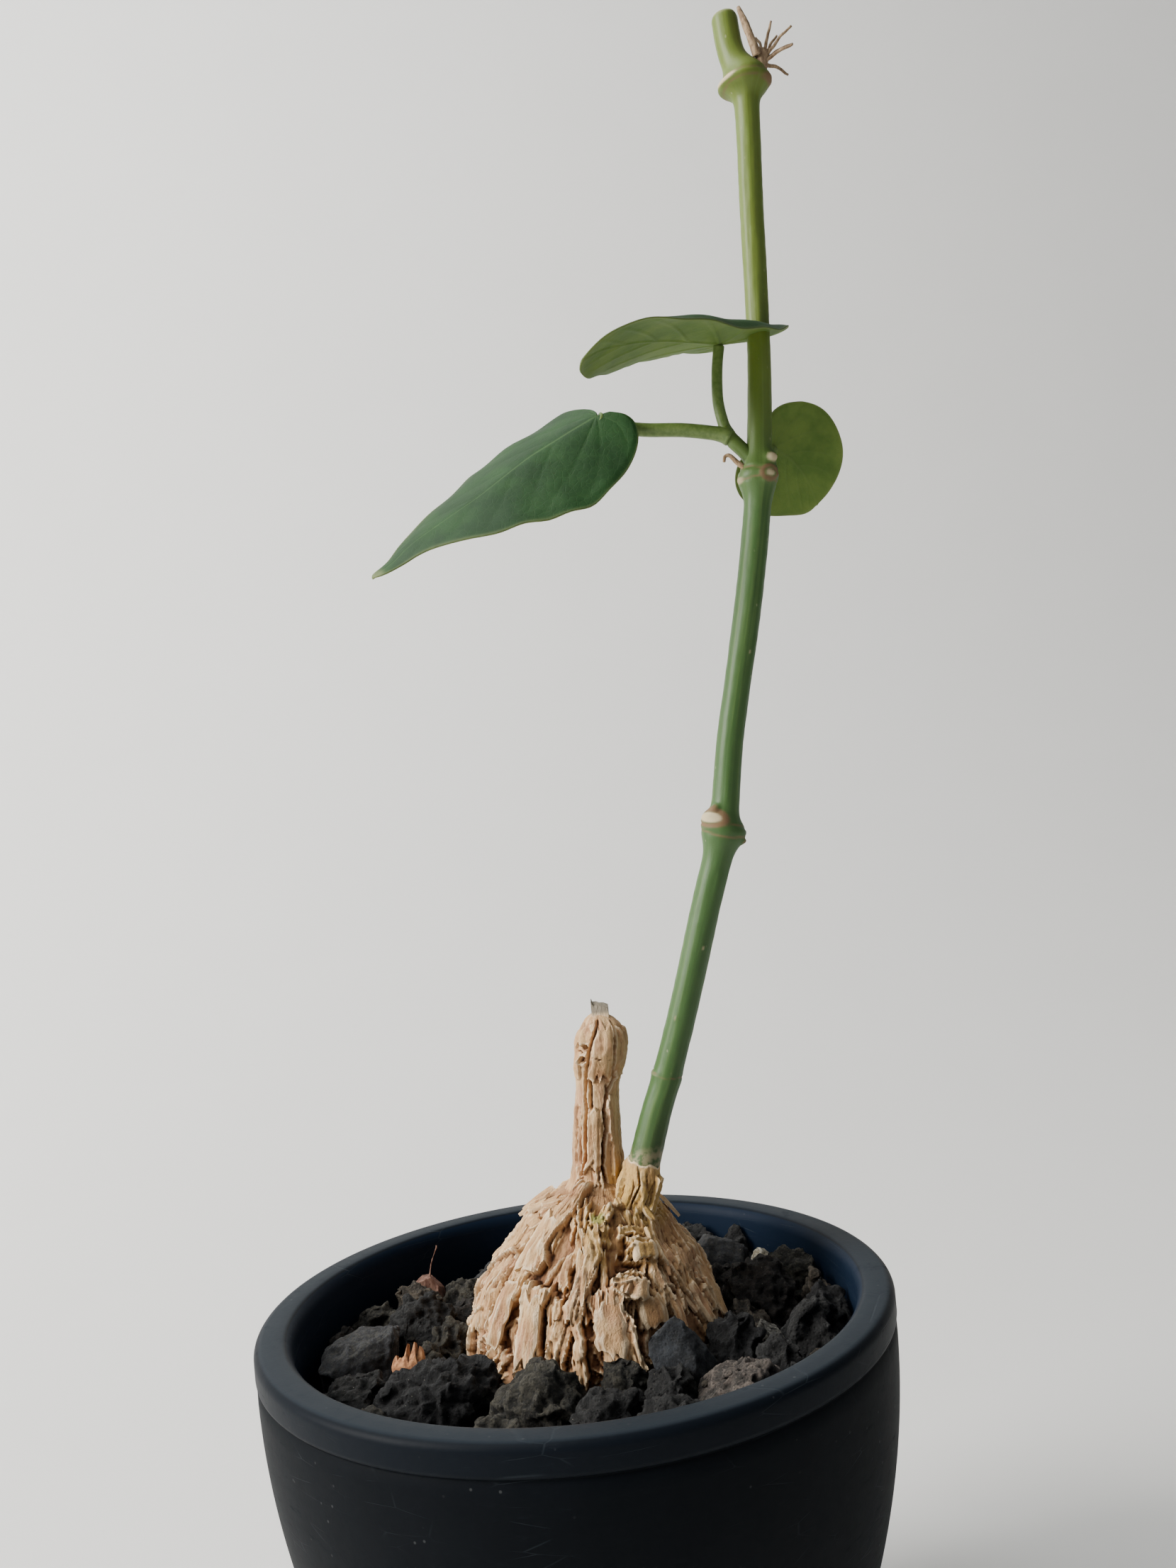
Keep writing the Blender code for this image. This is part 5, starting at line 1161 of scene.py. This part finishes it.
def make_flakes():
    draw = random.Random(12)
    rows = list(FLAKES)
    for number in range(64):
        degrees = draw.uniform(-180.0, 180.0)
        front = -150.0 < degrees < -35.0
        size = draw.uniform(1.4, 3.2) if front else draw.uniform(2.0, 7.0)
        rows.append((degrees, draw.uniform(79.0, 107.0), draw.uniform(-16.0, 16.0), size,
                     draw.uniform(0.7, 1.6) if front else draw.uniform(0.9, 2.6), draw.uniform(0.35, 0.8),
                     draw.uniform(0.5, 1.3), draw.uniform(0.02, 0.25)))
    flakes = []
    for number, (degrees, height, lean, length, width, thickness, stand, tip) in enumerate(rows):
        middle = tuber_point(degrees, height, stand - PLANK_SEAT + 0.15)
        up = tuber_point(degrees, height + 1.0) - tuber_point(degrees, height - 1.0)
        turn = math.radians(degrees)
        across = np.array([-math.sin(turn), math.cos(turn), 0.0])
        out = np.cross(across, up)
        out /= np.linalg.norm(out)
        along = up / np.linalg.norm(up) * math.cos(math.radians(lean)) + across * math.sin(math.radians(lean))
        flakes.append(slab(middle, along - out * tip, out, length, width, thickness, number))
    return flakes


def make_caudex():
    finish_cork("flaking_cork_foot", [make_tuber()])
    finish_cork("cork_flakes", make_flakes())
    finish_cork("dead_stump", [make_stump(), make_peg(), make_collar()])


# The vine

def stem_radii(height, angles):
    radii = np.full(len(angles), table(STEM_RADIUS, height, 1))
    for middle, swell, below, above in STEM_NODES:
        reach = below if height < middle else above
        radii += swell * math.exp(-((height - middle) / reach) ** 2)
    for middle, turn, swell, reach, spread in STEM_BUMPS:
        away = np.degrees(np.angle(np.exp(1j * (angles - math.radians(turn)))))
        radii += swell * math.exp(-((height - middle) / reach) ** 2) * np.exp(-(away / spread) ** 2)
    return radii


# Scars and buds on the stem: height, direction in degrees, reach up, reach round in degrees, relief, scar, brown
STEM_MARKS = (
    (174.1, -136.0, 1.0, 40.0, 0.30, 1.0, 0.0), (175.9, -134.0, 0.7, 16.0, 0.8, 0.0, 0.7),
    (238.0, -64.0, 0.75, 15.0, 0.15, 0.55, 0.0), (241.0, -56.0, 0.95, 17.0, 0.6, 0.75, 0.25),
    (236.8, 196.0, 0.7, 22.0, 0.2, 0.5, 0.3), (314.6, -150.0, 0.8, 34.0, 0.2, 1.0, 0.0),
    (313.2, -20.0, 0.7, 34.0, 0.2, 0.2, 0.8), (170.6, -12.0, 0.5, 12.0, 0.5, 0.2, 0.7),
    (127.6, 180.0, 0.35, 70.0, 0.10, 0.25, 0.2), (151.0, -70.0, 0.5, 7.0, 0.05, 0.4, 0.2),
    (138.0, -120.0, 0.6, 6.0, 0.05, 0.3, 0.3), (205.0, -60.0, 0.5, 6.0, 0.05, 0.4, 0.2),
)
# Brown-rimmed scars: height, direction in degrees, reach up, reach round in degrees
STEM_EYES = ((238.0, -64.0, 1.25, 25.0), (174.0, -140.0, 1.5, 50.0))
STEM_RINGS = ((172.9, 0.22, 0.22), (171.2, 0.30, 0.14), (238.9, 0.24, 0.22), (237.0, 0.25, 0.14),
              (314.8, 0.26, 0.25), (313.0, 0.25, 0.14), (127.9, 0.18, 0.12))


def make_stem():
    route = smooth_route(STEM_ROUTE, STEM_ROWS)
    angles = np.linspace(0.0, 2 * math.pi, STEM_COLUMNS, endpoint=False)
    radii, scars, browns, streaks = [], [], [], []
    for middle in route:
        height = middle[2]
        radius = stem_radii(height, angles)
        scar, brown = np.zeros(STEM_COLUMNS), np.zeros(STEM_COLUMNS)
        for level, turn, reach, spread, relief, pale, dry in STEM_MARKS:
            away = np.degrees(np.angle(np.exp(1j * (angles - math.radians(turn)))))
            form = np.exp(-(((height - level) / reach) ** 2 + (away / spread) ** 2) ** 2)
            radius = radius + relief * form
            scar, brown = np.maximum(scar, pale * form), np.maximum(brown, dry * form)
        for level, turn, reach, spread in STEM_EYES:
            away = np.degrees(np.angle(np.exp(1j * (angles - math.radians(turn)))))
            form = np.exp(-((np.hypot((height - level) / reach, away / spread) - 1.0) / 0.30) ** 2)
            radius = radius + 0.22 * form
            brown = np.maximum(brown, 0.9 * form)
        for level, reach, depth in STEM_RINGS:
            wobble = 0.35 * np.sin(angles * 2.0 + level)
            form = np.exp(-((height - level - wobble) / reach) ** 2)
            radius = radius - depth * form
            brown = np.maximum(brown, 0.55 * form)
        near = np.stack([2.6 * np.cos(angles), 2.6 * np.sin(angles), np.full(STEM_COLUMNS, height)], axis=1)
        radius = radius + 0.05 * rough(near, (1.1, 1.1, 9.0), 2, 81) + 0.03 * grain(near, 1.3, 83)
        end = max(0.0, (height - 327.0) / 0.6)
        radii.append(radius * (1.0 - 0.12 * end))
        streaks.append(0.5 + 0.32 * rough(near, (0.45, 0.45, 30.0), 3, 85))
        scars.append(scar)
        browns.append(brown)
    rings = sweep(route, radii, STEM_COLUMNS)
    rings[..., 2] = np.minimum(rings[..., 2], STEM_TOP)
    points, faces = skin_points(rings), skin_faces(len(rings), STEM_COLUMNS)
    stem = new_piece("green_stem", points, faces, stem_finish(), ["vine_stem"])
    set_attribute(stem.data, "scar", np.concatenate([np.array(scars).ravel(), (0.0, 0.6)]))
    set_attribute(stem.data, "brown", np.concatenate([np.array(browns).ravel(), (0.0, 0.0)]))
    set_attribute(stem.data, "streak", np.concatenate([np.array(streaks).ravel(), (0.5, 0.5)]))
    route = smooth_route(SHOOT_ROUTE, 34)
    radii = np.interp(np.linspace(0.0, 1.0, 34), np.linspace(0.0, 1.0, 4), SHOOT_RADII)
    rings = sweep(route, radii, 28)
    shoot = new_piece("side_shoot", skin_points(rings), skin_faces(34, 28), stem.data.materials[0])
    set_attribute(shoot.data, "streak", np.full(len(shoot.data.vertices), 0.5))
    rings = sweep(smooth_route(CURL_ROUTE, 26), np.linspace(0.62, 0.28, 26), 12)
    curl = new_piece("dried_curl", skin_points(rings), skin_faces(26, 12),
                     dry_finish("dried_curl", (0.20, 0.12, 0.06), (0.40, 0.28, 0.16)))
    set_attribute(curl.data, "cavity", np.full(len(curl.data.vertices), 0.5))
    return stem


def blade_point(leaf, midrib, length, along, across):
    """Points of the bent blade from their flat places: along and across the midrib."""
    share = np.clip(along / length, 0.0, 1.0)
    place = share * (len(midrib) - 1)
    row = np.minimum(place.astype(int), len(midrib) - 2)
    point = midrib[row] + (midrib[row + 1] - midrib[row]) * (place - row)[:, None]
    start = (midrib[0] - midrib[1]) / np.linalg.norm(midrib[0] - midrib[1])
    point = np.where((along < 0.0)[:, None], midrib[0] - along[:, None] * start, point)
    halves = []
    for side in ("near", "far"):
        foot, tip = np.array(leaf[side][0]), np.array(leaf[side][1])
        direction = foot * (1.0 - share[:, None]) + tip * share[:, None]
        halves.append(direction / np.linalg.norm(direction, axis=1)[:, None])
    near, far = halves
    fold = (np.sqrt(across ** 2 + FOLD_SOFTNESS ** 2) - FOLD_SOFTNESS)[:, None]
    point = point + across[:, None] * (near - far) / 2 + fold * (near + far) / 2
    curl = np.where(across > 0, leaf["curl"][0], leaf["curl"][1])
    edge = np.abs(across) / leaf["half_width"]
    wave = BLADE_WAVE * np.sin(0.55 * along + np.where(across > 0, 0.0, 1.7)) * edge ** 2
    point[:, 2] += wave - curl * edge ** 4
    return point


def make_blade(name):
    leaf = LEAVES[name]
    midrib = smooth_route(leaf["midrib"], 121)
    length = float(np.sum(np.linalg.norm(np.diff(midrib, axis=0), axis=1)))
    half_count = (BLADE_EDGE_POINTS + 1) // 2
    half = smooth_route(leaf["outline"], half_count) * (length, leaf["half_width"])
    half[-1, 1] = 0.0
    other = half[-2::-1] * (1.0, -1.0)
    other[:, 0] = np.where(other[:, 0] > 0, other[:, 0], other[:, 0] * leaf["far_lobe"])
    edge = np.vstack([half, other])
    shares = (np.arange(1, BLADE_RINGS + 1) / BLADE_RINGS) ** 0.85
    flat = np.vstack([[(0.0, 0.0)]] + [edge * share for share in shares])
    along, across = flat.T
    rim = np.concatenate([[0.0], np.repeat(shares, len(edge))])
    veins = []
    for side in (1.0, -1.0):
        for vein in leaf["veins"]:
            route = np.array(vein) * (length, side * leaf["half_width"])
            route[:, 0] = np.where((route[:, 0] < 0) & (side < 0), route[:, 0] * leaf["far_lobe"], route[:, 0])
            veins.append(smooth_route(np.hstack([route, np.zeros((len(route), 1))]), 9))
    spots = np.stack([along, across, np.zeros(len(along))], axis=1)
    main_vein = np.exp(-(across / (0.42 * (1.15 - np.clip(along / length, 0, 1)))) ** 2)
    side_vein = np.exp(-(distance_to_routes(spots, veins) / 0.30) ** 2)
    vein = np.maximum(main_vein, 0.75 * side_vein)
    quilt = 0.06 * np.clip(distance_to_routes(spots, veins) / 3.0, 0.0, 1.0)
    step = 0.2
    forward = blade_point(leaf, midrib, length, along + step, across)
    forward = forward - blade_point(leaf, midrib, length, along - step, across)
    side = blade_point(leaf, midrib, length, along, across + step)
    side = side - blade_point(leaf, midrib, length, along, across - step)
    normal = np.cross(forward, side)
    normal /= np.linalg.norm(normal, axis=1)[:, None]
    middle = blade_point(leaf, midrib, length, along, across)
    thin = 0.5 * BLADE_THICKNESS * (1.0 - 0.55 * smoothstep((rim - 0.86) / 0.14))
    lift = leaf["top_side"] * (quilt * (1.0 - rim ** 6) - 0.05 * vein)
    first = middle + normal * (thin + lift)[:, None]
    second = middle - normal * (thin - lift)[:, None] - normal * (leaf["top_side"] * 0.15 * vein)[:, None]
    size, total = len(edge), len(flat)
    sheet = [[0, i + 1, i + 2] for i in range(size - 1)]
    for row in range(BLADE_RINGS - 1):
        a = 1 + row * size + np.arange(size - 1)
        sheet += np.stack([a, a + size, a + size + 1, a + 1], axis=1).tolist()
    border = [0] + [1 + row * size for row in range(BLADE_RINGS)]
    border += [1 + (BLADE_RINGS - 1) * size + i for i in range(1, size)]
    border += [1 + row * size + size - 1 for row in range(BLADE_RINGS - 2, -1, -1)]
    faces = sheet + [[i + total for i in face[::-1]] for face in sheet]
    for i, a in enumerate(border):
        b = border[(i + 1) % len(border)]
        faces.append([b, a, a + total, b + total])
    top = np.full(total, 1.0 if leaf["top_side"] > 0 else 0.0)
    attributes = {"vein": np.tile(vein, 2), "rim": np.tile(rim ** 30, 2), "top": np.concatenate([top, 1.0 - top])}
    return np.vstack([first, second]), faces, attributes


def make_leaf(name, material):
    points, faces, attributes = make_blade(name)
    blade = new_piece(name + "_blade", points, faces, material, [name])
    for attribute, values in attributes.items():
        set_attribute(blade.data, attribute, values)
    leaf = LEAVES[name]
    route = smooth_route(leaf["stalk"], 48)
    radii = leaf["stalk_radius"] * np.interp(np.linspace(0, 1, 48), (0, 0.12, 0.9, 1.0), (1.25, 1.0, 0.95, 1.0))
    rings = sweep(route, radii, 24)
    stalk = new_piece(name + "_stalk", skin_points(rings), skin_faces(48, 24), stalk_material(), [name])
    return blade, stalk


def stalk_material():
    known = bpy.data.materials.get("leaf_stalk")
    if known:
        return known
    finish = Finish("leaf_stalk", 0.5)
    streaks = finish.noise(0.8, 3.0)
    colour = finish.mix(streaks.eased(0.30, 0.70), (0.080, 0.135, 0.026), (0.125, 0.185, 0.046))
    return finish.wear(Base_Color=colour, height=streaks * 0.03)


def make_dried_flower_stalk():
    material = dry_finish("dry_flower_stalk", (0.16, 0.10, 0.055), (0.38, 0.27, 0.16))
    points, faces, start = [], [], 0
    parts = []
    rings = sweep(smooth_route(STUB_ROUTE, 26), np.interp(np.linspace(0, 2, 26), range(3), STUB_RADII), 26)
    parts.append((skin_points(rings), skin_faces(26, 26)))
    for number, (bend, tip) in enumerate(STRANDS):
        route = smooth_route((STUB_ROUTE[1], bend, tip), 24)
        route = route + 0.14 * np.stack([grain(route, 1.1, number + axis) for axis in range(3)], axis=1)
        rings = sweep(route, np.linspace(0.40, 0.22, 24), 10)
        parts.append((skin_points(rings), skin_faces(24, 10)))
    radii = np.interp(np.linspace(0, 3, 30), range(4), (0.9, 0.75, 0.7, 0.35))
    rings = sweep(smooth_route(SHEATH_ROUTE, 30), radii, 20)
    parts.append((skin_points(rings), skin_faces(30, 20)))
    for some_points, some_faces in parts:
        wobble = 0.10 * rough(some_points, 0.8, 2, 91)
        points.append(some_points + wobble[:, None] * np.array([0.6, 0.5, 0.6]))
        faces += [[start + i for i in face] for face in some_faces]
        start += len(some_points)
    piece = new_piece("dry_flower_stalk", np.vstack(points), faces, material, ["dried_flower_stalk"])
    set_attribute(piece.data, "cavity", np.full(start, 0.5))
    return piece


# The lava rock

def weather_rock(mesh, kind, salt):
    """Turns a plain lump into a rough piece of lava, inside its own room."""
    break_roughness, pitting = ROCK_KINDS[kind][2:4]
    points, normals = mesh_points(mesh), mesh_normals(mesh)
    draw = random.Random(1000 + salt)
    middle = points.mean(axis=0)
    for cut in range(ROCK_FACETS if kind not in ("slate", "blue") else 3):
        direction = Vector((draw.gauss(0, 1), draw.gauss(0, 1), draw.gauss(0, 1))).normalized()
        depth = (points - middle) @ np.array(direction)
        over = np.maximum(depth - depth.max() * draw.uniform(0.66, 0.90), 0.0)
        points = points - 0.85 * over[:, None] * np.array(direction)
    moved = points + 300.0 * salt
    relief = 0.62 * break_roughness * rough(moved, 3.6, 5, salt, 0.66) - 0.40 * break_roughness
    ridges = 1.0 - 2.0 * np.abs(grain(moved, 2.6, salt + 7))
    relief += 0.75 * break_roughness * (ridges - 0.35)
    knobs = 1.0 - cells(moved, 1.9, salt + 5)[0]
    relief += 0.45 * break_roughness * knobs - 0.2
    first, second, number, offset = cells(moved, 2.1, salt + 11)
    relief -= 0.75 * pitting * smoothstep((0.44 - first) / 0.26) * (number > 0.40)
    first, second, number, offset = cells(moved, 1.05, salt + 17)
    relief -= 0.30 * pitting * smoothstep((0.44 - first) / 0.26) * (number > 0.3)
    set_points(mesh, points + normals * np.clip(relief, -1.9, 0.6)[:, None])
    set_cavity(mesh, 6, 0.5)


def cornered(name):
    """The solid between a slab's corners."""
    shell = bmesh.new()
    for corner in ROCK_CORNERS[name]:
        shell.verts.new(Vector(corner) * MM)
    hull = bmesh.ops.convex_hull(shell, input=shell.verts)
    bmesh.ops.delete(shell, geom=hull["geom_interior"], context="VERTS")
    mesh = bpy.data.meshes.new(name + "_corners")
    shell.to_mesh(mesh)
    shell.free()
    return mesh


def make_rocks(frame):
    materials = {kind: rock_finish(kind) for kind in ROCK_KINDS}
    for name in sorted(frame["nodes"]):
        if not name.startswith("stone_"):
            continue
        kind, number = name.split("_")[1:]
        lump = cornered(name) if name in ROCK_CORNERS else frame["nodes"][name].data.copy()
        mesh = remeshed("lava_" + number, lump, ROCK_VOXEL, 1)
        weather_rock(mesh, kind, int(number))
        dress(f"lava_{kind}_{number}", mesh, materials[kind], [name])
    return materials


def make_dry_bits(frame):
    chip = dry_finish("orange_bark_chip", (0.16, 0.062, 0.024), (0.42, 0.20, 0.085))
    twig = dry_finish("reddish_twig", (0.12, 0.052, 0.036), (0.26, 0.15, 0.11))
    bract = dry_finish("dry_red_bract", (0.26, 0.10, 0.08), (0.50, 0.27, 0.21))
    points, faces, fibres, cover = slab(np.array((-29.9, -11.5, 81.4)), np.array((0.05, 0.5, 0.86)),
                                        np.array((-0.15, -0.86, 0.5)), 12.6, 5.8, 2.2, 77)
    splint = new_piece("splintered_bark_chip", points, faces, chip, ["bark_chip"])
    set_cavity(splint.data, 3, 0.3)
    splint.data.set_sharp_from_angle(angle=math.radians(40.0))
    for node, material, voxel, thinner in (("dry_twig", twig, 0.32, 0.42), ("dried_bract", bract, 0.30, 0.0)):
        mesh = remeshed(node, frame["nodes"][node].data.copy(), voxel, 2)
        points, normals = mesh_points(mesh), mesh_normals(mesh)
        relief = 0.16 * rough(points, (1.6, 1.6, 4.0), 3, 7) - thinner
        set_points(mesh, points + normals * relief[:, None])
        set_cavity(mesh, 5, 0.35)
        dress("weathered_" + node, mesh, material, [node])


def make_grit(materials):
    """Small crumbs of rock in the hollows between the big pieces."""
    rocks = [piece for piece in bpy.context.scene.objects
             if piece.name.startswith(("lava_", "weathered_", "flaking_"))]
    points, faces, start = [], [], 0
    for rock in rocks:
        points += [vertex.co / MM for vertex in rock.data.vertices]
        faces += [[start + i for i in face.vertices] for face in rock.data.polygons]
        start += len(rock.data.vertices)
    tree = BVHTree.FromPolygons(points, faces)
    draw = random.Random(GRIT_SEED)
    shape = [(x, y, z) for x in (-1, 0, 1) for y in (-1, 0, 1) for z in (-1, 0, 1) if (x, y, z) != (0, 0, 0)]
    crumbs = {"charcoal": [], "olive": [], "brown": [], "tan": []}
    for attempt in range(GRIT_TRIES):
        turn, reach = draw.uniform(0.0, 2 * math.pi), 48.3 * math.sqrt(draw.random())
        x, y = reach * math.cos(turn), reach * math.sin(turn)
        hit = tree.ray_cast(Vector((x, y, 120.0)), Vector((0.0, 0.0, -1.0)))
        height = hit[0].z if hit[0] else MIX_TOP
        size = draw.uniform(0.5, 1.7)
        if height > GRIT_BELOW or (height > 79.0 and size > 0.9):
            continue
        if math.hypot(x - 3.6, y - TUBER_CENTRE_Y) < 22.0:
            continue
        crumbs[draw.choice(list(crumbs))].append((x, y, height + 0.4 * size, size, draw.random()))
    ball = bpy.data.meshes.new("crumb")
    shell = bmesh.new()
    bmesh.ops.create_icosphere(shell, subdivisions=2, radius=1.0)
    shell.to_mesh(ball)
    shell.free()
    base = mesh_points(ball) * MM
    sides = [list(face.vertices) for face in ball.polygons]
    for kind, seats in crumbs.items():
        points, faces = [], []
        for number, (x, y, z, size, turn) in enumerate(seats):
            lump = base * (1.0 + 0.35 * rough(base + 9.0 * number, 0.9, 2, number))[:, None]
            lump = lump * (1.0, 0.72 + 0.4 * turn, 0.62)
            c, s = math.cos(6.28 * turn), math.sin(6.28 * turn)
            lump = lump @ np.array([[c, s, 0], [-s, c, 0], [0, 0, 1]])
            faces += [[len(points) * len(base) + i for i in face] for face in sides]
            points.append(lump * size + (x, y, z))
        if not points:
            continue
        piece = new_piece("grit_" + kind, np.vstack(points), faces, materials[kind])
        set_attribute(piece.data, "cavity", np.full(len(piece.data.vertices), 0.5))


# The studio

def make_studio():
    profile = [(y, 0.0) for y in np.linspace(-900.0, 120.0, 18)]
    for turn in np.linspace(0.03, math.pi / 2, 60):
        profile.append((120.0 + 560.0 * math.sin(turn), 560.0 - 560.0 * math.cos(turn)))
    profile += [(680.0, 560.0 + 90.0 * step) for step in range(1, 14)]
    points = [(x, y, z) for x in (-1800.0, 1800.0) for y, z in profile]
    count = len(profile)
    faces = [[i, i + 1, i + 1 + count, i + count] for i in range(count - 1)]
    mesh = bpy.data.meshes.new("backdrop")
    mesh.from_pydata((np.array(points) * MM).tolist(), [], faces)
    mesh.shade_smooth()
    backdrop = bpy.data.objects.new("backdrop", mesh)
    bpy.context.scene.collection.objects.link(backdrop)
    finish = Finish("pale_backdrop", 0.9)
    colour = finish.mix(finish.noise(60.0, 3.0), (0.72, 0.715, 0.695), (0.75, 0.745, 0.725))
    mesh.materials.append(finish.wear(Base_Color=colour))


def add_light(name, place, target, size, power, colour):
    light = bpy.data.lights.new(name, "AREA")
    light.shape = "RECTANGLE"
    light.size, light.size_y = size
    light.energy = power
    light.color = colour
    lamp = bpy.data.objects.new(name, light)
    lamp.location = place
    lamp.rotation_euler = (Vector(target) - Vector(place)).to_track_quat("-Z", "Y").to_euler()
    bpy.context.scene.collection.objects.link(lamp)


def make_lights():
    middle = (0.01, 0.0, 0.13)
    add_light("window", (-0.95, -0.30, 0.66), middle, (0.45, 0.60), 27.0, (1.0, 0.97, 0.93))
    add_light("fill", (0.95, -0.85, 0.75), middle, (0.9, 0.9), 1.1, (0.93, 0.96, 1.0))
    add_light("wall_wash", (-0.55, -0.05, 1.15), (-0.20, 0.66, 0.30), (0.9, 0.5), 11.0, (0.98, 1.0, 1.0))
    world = bpy.data.worlds.new("soft_room")
    world.use_nodes = True
    world.node_tree.nodes["Background"].inputs[0].default_value = (0.86, 0.90, 0.95, 1.0)
    world.node_tree.nodes["Background"].inputs[1].default_value = 0.17
    bpy.context.scene.world = world


def aim_camera():
    pitch, roll = math.radians(CAMERA_PITCH), math.radians(CAMERA_ROLL)
    forward = Vector((0.0, math.cos(pitch), -math.sin(pitch)))
    right = Vector((1.0, 0.0, 0.0))
    up = right.cross(forward)
    tilted_right = math.cos(roll) * right + math.sin(roll) * up
    tilted_up = math.cos(roll) * up - math.sin(roll) * right
    lens = bpy.data.cameras.new("photo_view")
    lens.sensor_width = 36.0
    lens.lens = FOCAL_PIXELS / PHOTO_HEIGHT * lens.sensor_width
    lens.clip_start = 0.005
    camera = bpy.data.objects.new("photo_view", lens)
    turned = Matrix((tilted_right, tilted_up, -forward)).transposed()
    camera.matrix_world = Matrix.Translation(Vector(CAMERA_PLACE) * MM) @ turned.to_4x4()
    bpy.context.scene.collection.objects.link(camera)
    bpy.context.scene.camera = camera


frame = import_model()
aim_camera()
make_lights()
make_studio()
make_pot()
frame["nodes"]["potting_mix"].data.materials.clear()
frame["nodes"]["potting_mix"].data.materials.append(mix_finish())
make_caudex()
make_stem()
leaf_material = leaf_finish()
for leaf_name in LEAVES:
    make_leaf(leaf_name, leaf_material)
make_dried_flower_stalk()
rock_materials = make_rocks(frame)
make_dry_bits(frame)
make_grit(rock_materials)
